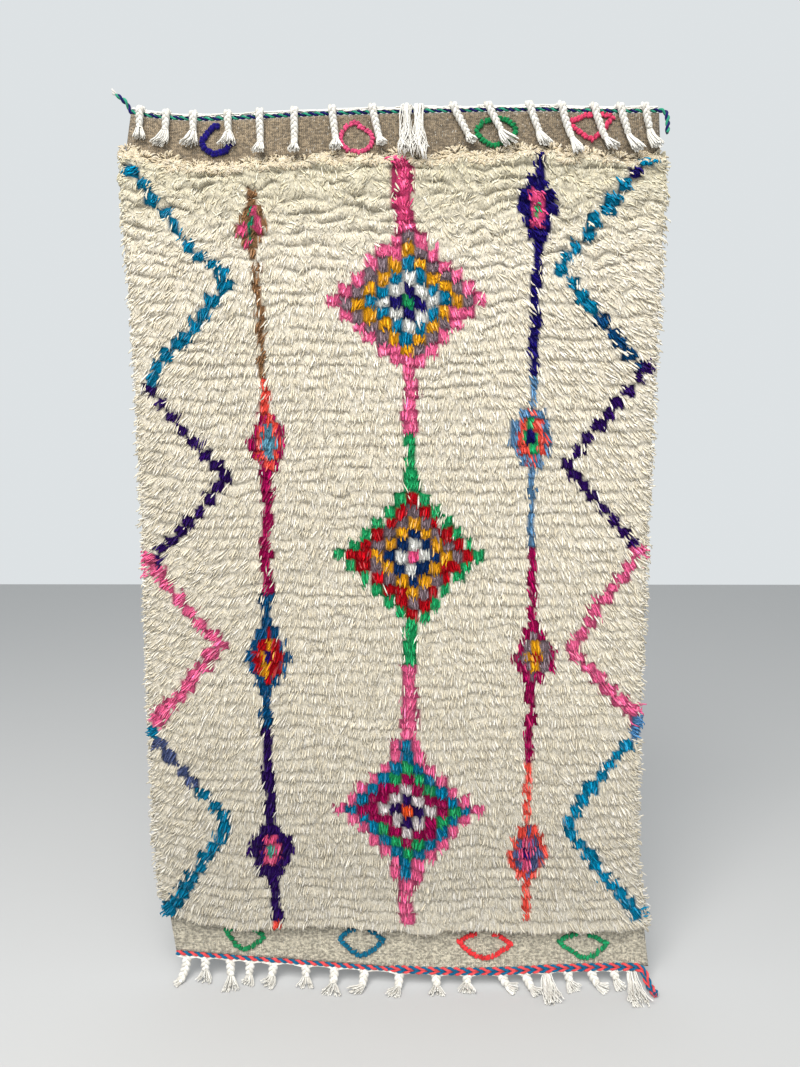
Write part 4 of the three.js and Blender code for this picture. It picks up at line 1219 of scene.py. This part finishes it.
def make_fringe_top(material):
    yarns = Yarns()
    rng = np.random.default_rng(81)
    z_of = lambda x: cord_top_z(x) + CORD_TOP_R + GAP + HEAD / 2
    y_of = lambda x: -2.6 + 0 * x
    strip(yarns, z_of, y_of, -580, 568, rng)
    heading(yarns, [dict(q, clip=(-582, 570)) for q in TASSELS_TOP], z_of, y_of, rng, 1.0)
    front = CORD_TOP_Y - CORD_TOP_R - GAP - 5.2 - 0.6
    for q in TASSELS_TOP:
        z0 = float(z_of(q["x"]))
        pts = [
            [q["x"], -1.2, z0 + 2.2],
            [q["x"] + q["lean"] * 0.02, -6.6, z0 + 4.6],
            [q["x"] + q["lean"] * 0.06, front, z0 - 1],
        ]
        for s in (0.2, 0.42, 0.64, 0.84, 1):
            pts.append([q["x"] + q["lean"] * s, front, z0 - q["drop"] * s])
        pile_from = float(top_z(q["x"])) - END_TOP + 12
        for p in pts:
            if p[2] < pile_from:
                p[1] = min(p[1], -41.0)
            elif p[2] < pile_from + 26:
                p[1] = min(p[1], front - 17 * (1 - (p[2] - pile_from) / 26) - 4)
        line, _ = resampled(pts, 80)
        tassel(yarns, line, q, rng, 8.8, 0.0)
    # Warp ends that lap over the upper half of the cord, more of them to the right.
    x0 = rng.uniform(-560, 545, 300)
    x0 = x0[rng.uniform(0, 1, 300) < 0.25 + 0.65 * smooth_step(-160, 120, x0)]
    s = np.linspace(0, 1, 7)
    x = x0[:, None] + rng.uniform(12, 26, (len(x0), 1)) * s[None]
    turn = 0.1 + (rng.uniform(0.5, 1.45, (len(x0), 1)) - 0.1) * np.sin(np.pi * s[None] ** rng.uniform(0.7, 1.5, (len(x0), 1)))
    off = CORD_TOP_R + 0.9
    laps = np.stack([x, CORD_TOP_Y - off * np.sin(turn), cord_top_z(x) + off * np.cos(turn)], -1)
    yarns.add(laps, 1.25 * np.ones((len(x0), 7)), WARP[rng.integers(0, 3, len(x0))][:, None] * rng.uniform(0.9, 1.0, (len(x0), 1, 1)) * np.ones((1, 7, 1)), sides=4)
    return yarns.mesh("fringe_top_tassels", material)


def make_fringe_foot(material):
    yarns = Yarns()
    rng = np.random.default_rng(82)
    z_of = lambda x: cord_foot_z(x) - CORD_FOOT_R - GAP - HEAD / 2
    y_of = lambda x: cord_foot_y(x)
    strip(yarns, z_of, y_of, -534, 573, rng)
    heading(yarns, [dict(q, clip=(-536, 574)) for q in TASSELS_FOOT], z_of, y_of, rng, -1.0)
    for q in TASSELS_FOOT:
        z0, y0 = float(z_of(q["x"])), float(cord_foot_y(q["x"]))
        lie = FLOOR_Z + 6.1
        fall, reach, dx = z0 - lie, -q["out"] - y0, q["tip"] - q["x"]
        pts = [
            [q["x"], y0, z0 - 0.6],
            [q["x"], y0, z0 - 2.6],
            [q["x"] + dx * 0.08, y0 + reach * 0.08, z0 - max(4.5, fall * 0.3)],
            [q["x"] + dx * 0.3, y0 + reach * 0.28, z0 - fall * 0.72],
            [q["x"] + dx * 0.6, y0 + reach * 0.6, lie + 1.2],
            [q["tip"], y0 + reach, lie],
        ]
        line, _ = resampled(pts, 80)
        tassel(yarns, line, q, rng, 11.2, 0.0, lowest=FLOOR_Z)
    # Painted light: the whole foot fringe is painted brighter than the top one, though both are the same warp.
    yarns.c = [np.minimum(c * 1.16, 1.2) for c in yarns.c]
    return yarns.mesh("fringe_foot_tassels", material)


# ---------------------------------------------------------------- make it all
PILE_WOOL = wool("pile_wool", through=0.3, sheen=0.02)
WARP_WOOL = wool("warp_yarn", grain=1400.0, depth=0.0004, sheen=0.15, mottle=160.0, amount=0.08)
CORD_WOOL = wool("cord_yarn", grain=1300.0, depth=0.0004, sheen=0.15, mottle=220.0, amount=0.2)

ground = make_ground(weave_material())
pile = make_pile(PILE_WOOL) + [make_bed(packed_wool("packed_wool"))]
loops = make_loops(CORD_WOOL)
cord_top = make_cord_top(CORD_WOOL)
cord_foot = make_cord_foot(CORD_WOOL)
fringe_top = make_fringe_top(WARP_WOOL)
fringe_foot = make_fringe_foot(WARP_WOOL)

for piece in [ground, loops] + pile:
    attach(piece, "root")
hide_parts("rug_body")
for piece in pile:
    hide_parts("rug_body")
for piece, name, slot in (
    (cord_top, "cord_top", "cord_green_navy"),
    (cord_foot, "cord_foot", "cord_red_blue"),
    (fringe_top, "fringe_top", "warp_white"),
    (fringe_foot, "fringe_foot", "warp_white"),
):
    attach(piece, "root")
    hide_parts(name)

# ---------------------------------------------------------------- floor, light and camera
floor_mesh = bpy.data.meshes.new("floor")
floor_mesh.from_pydata([(-6, -6, 0), (6, -6, 0), (6, 6, 0), (-6, 6, 0)], [], [(0, 1, 2, 3)])
floor = bpy.data.objects.new("floor", floor_mesh)
floor.location = (0, 0, FLOOR_Z * MM - 0.0005)
bpy.context.scene.collection.objects.link(floor)
mat, nt, p = new_material("floor_pale")
p.inputs["Base Color"].default_value = (0.44, 0.44, 0.44, 1)
p.inputs["Roughness"].default_value = 0.8
floor_mesh.materials.append(mat)

world = bpy.data.worlds.new("studio")
bpy.context.scene.world = world
world.use_nodes = True
world.node_tree.nodes["Background"].inputs["Color"].default_value = (0.845, 0.885, 0.905, 1)
world.node_tree.nodes["Background"].inputs["Strength"].default_value = 0.86


def area_light(name, place, aim, size, power, colour=(1, 1, 1)):
    data = bpy.data.lights.new(name, "AREA")
    data.shape, data.size, data.energy, data.color = "SQUARE", size, power, colour
    ob = bpy.data.objects.new(name, data)
    ob.location = place
    way = np.array(aim, float) - np.array(place, float)
    from mathutils import Vector

    ob.rotation_euler = Vector(way).to_track_quat("-Z", "Y").to_euler()
    bpy.context.scene.collection.objects.link(ob)


area_light("key", (-0.8, -2.7, 2.0), (0, 0, -1.0), 2.4, 264, (1.0, 0.98, 0.945))
area_light("fill", (1.5, -3.3, -0.5), (0, 0, -1.0), 3.0, 50)

camera = bpy.data.cameras.new("camera")
camera.lens, camera.sensor_width, camera.sensor_fit = 26.0, 36.0, "AUTO"
cam = bpy.data.objects.new("camera", camera)
cam.location = (0.012, -1.775, -0.759)
cam.rotation_euler = (math.radians(90 - 5.38), 0.0, math.radians(0.22))
bpy.context.scene.collection.objects.link(cam)
bpy.context.scene.camera = cam
bpy.context.scene.view_settings.view_transform = "Standard"

total = 0
for o in [ground, loops, cord_top, cord_foot, fringe_top, fringe_foot] + pile:
    loops_total = np.empty(len(o.data.polygons), np.int32)
    o.data.polygons.foreach_get("loop_total", loops_total)
    count = int((loops_total - 2).sum())
    total += count
    print("triangles", o.name, count)
print("triangles in all", total)
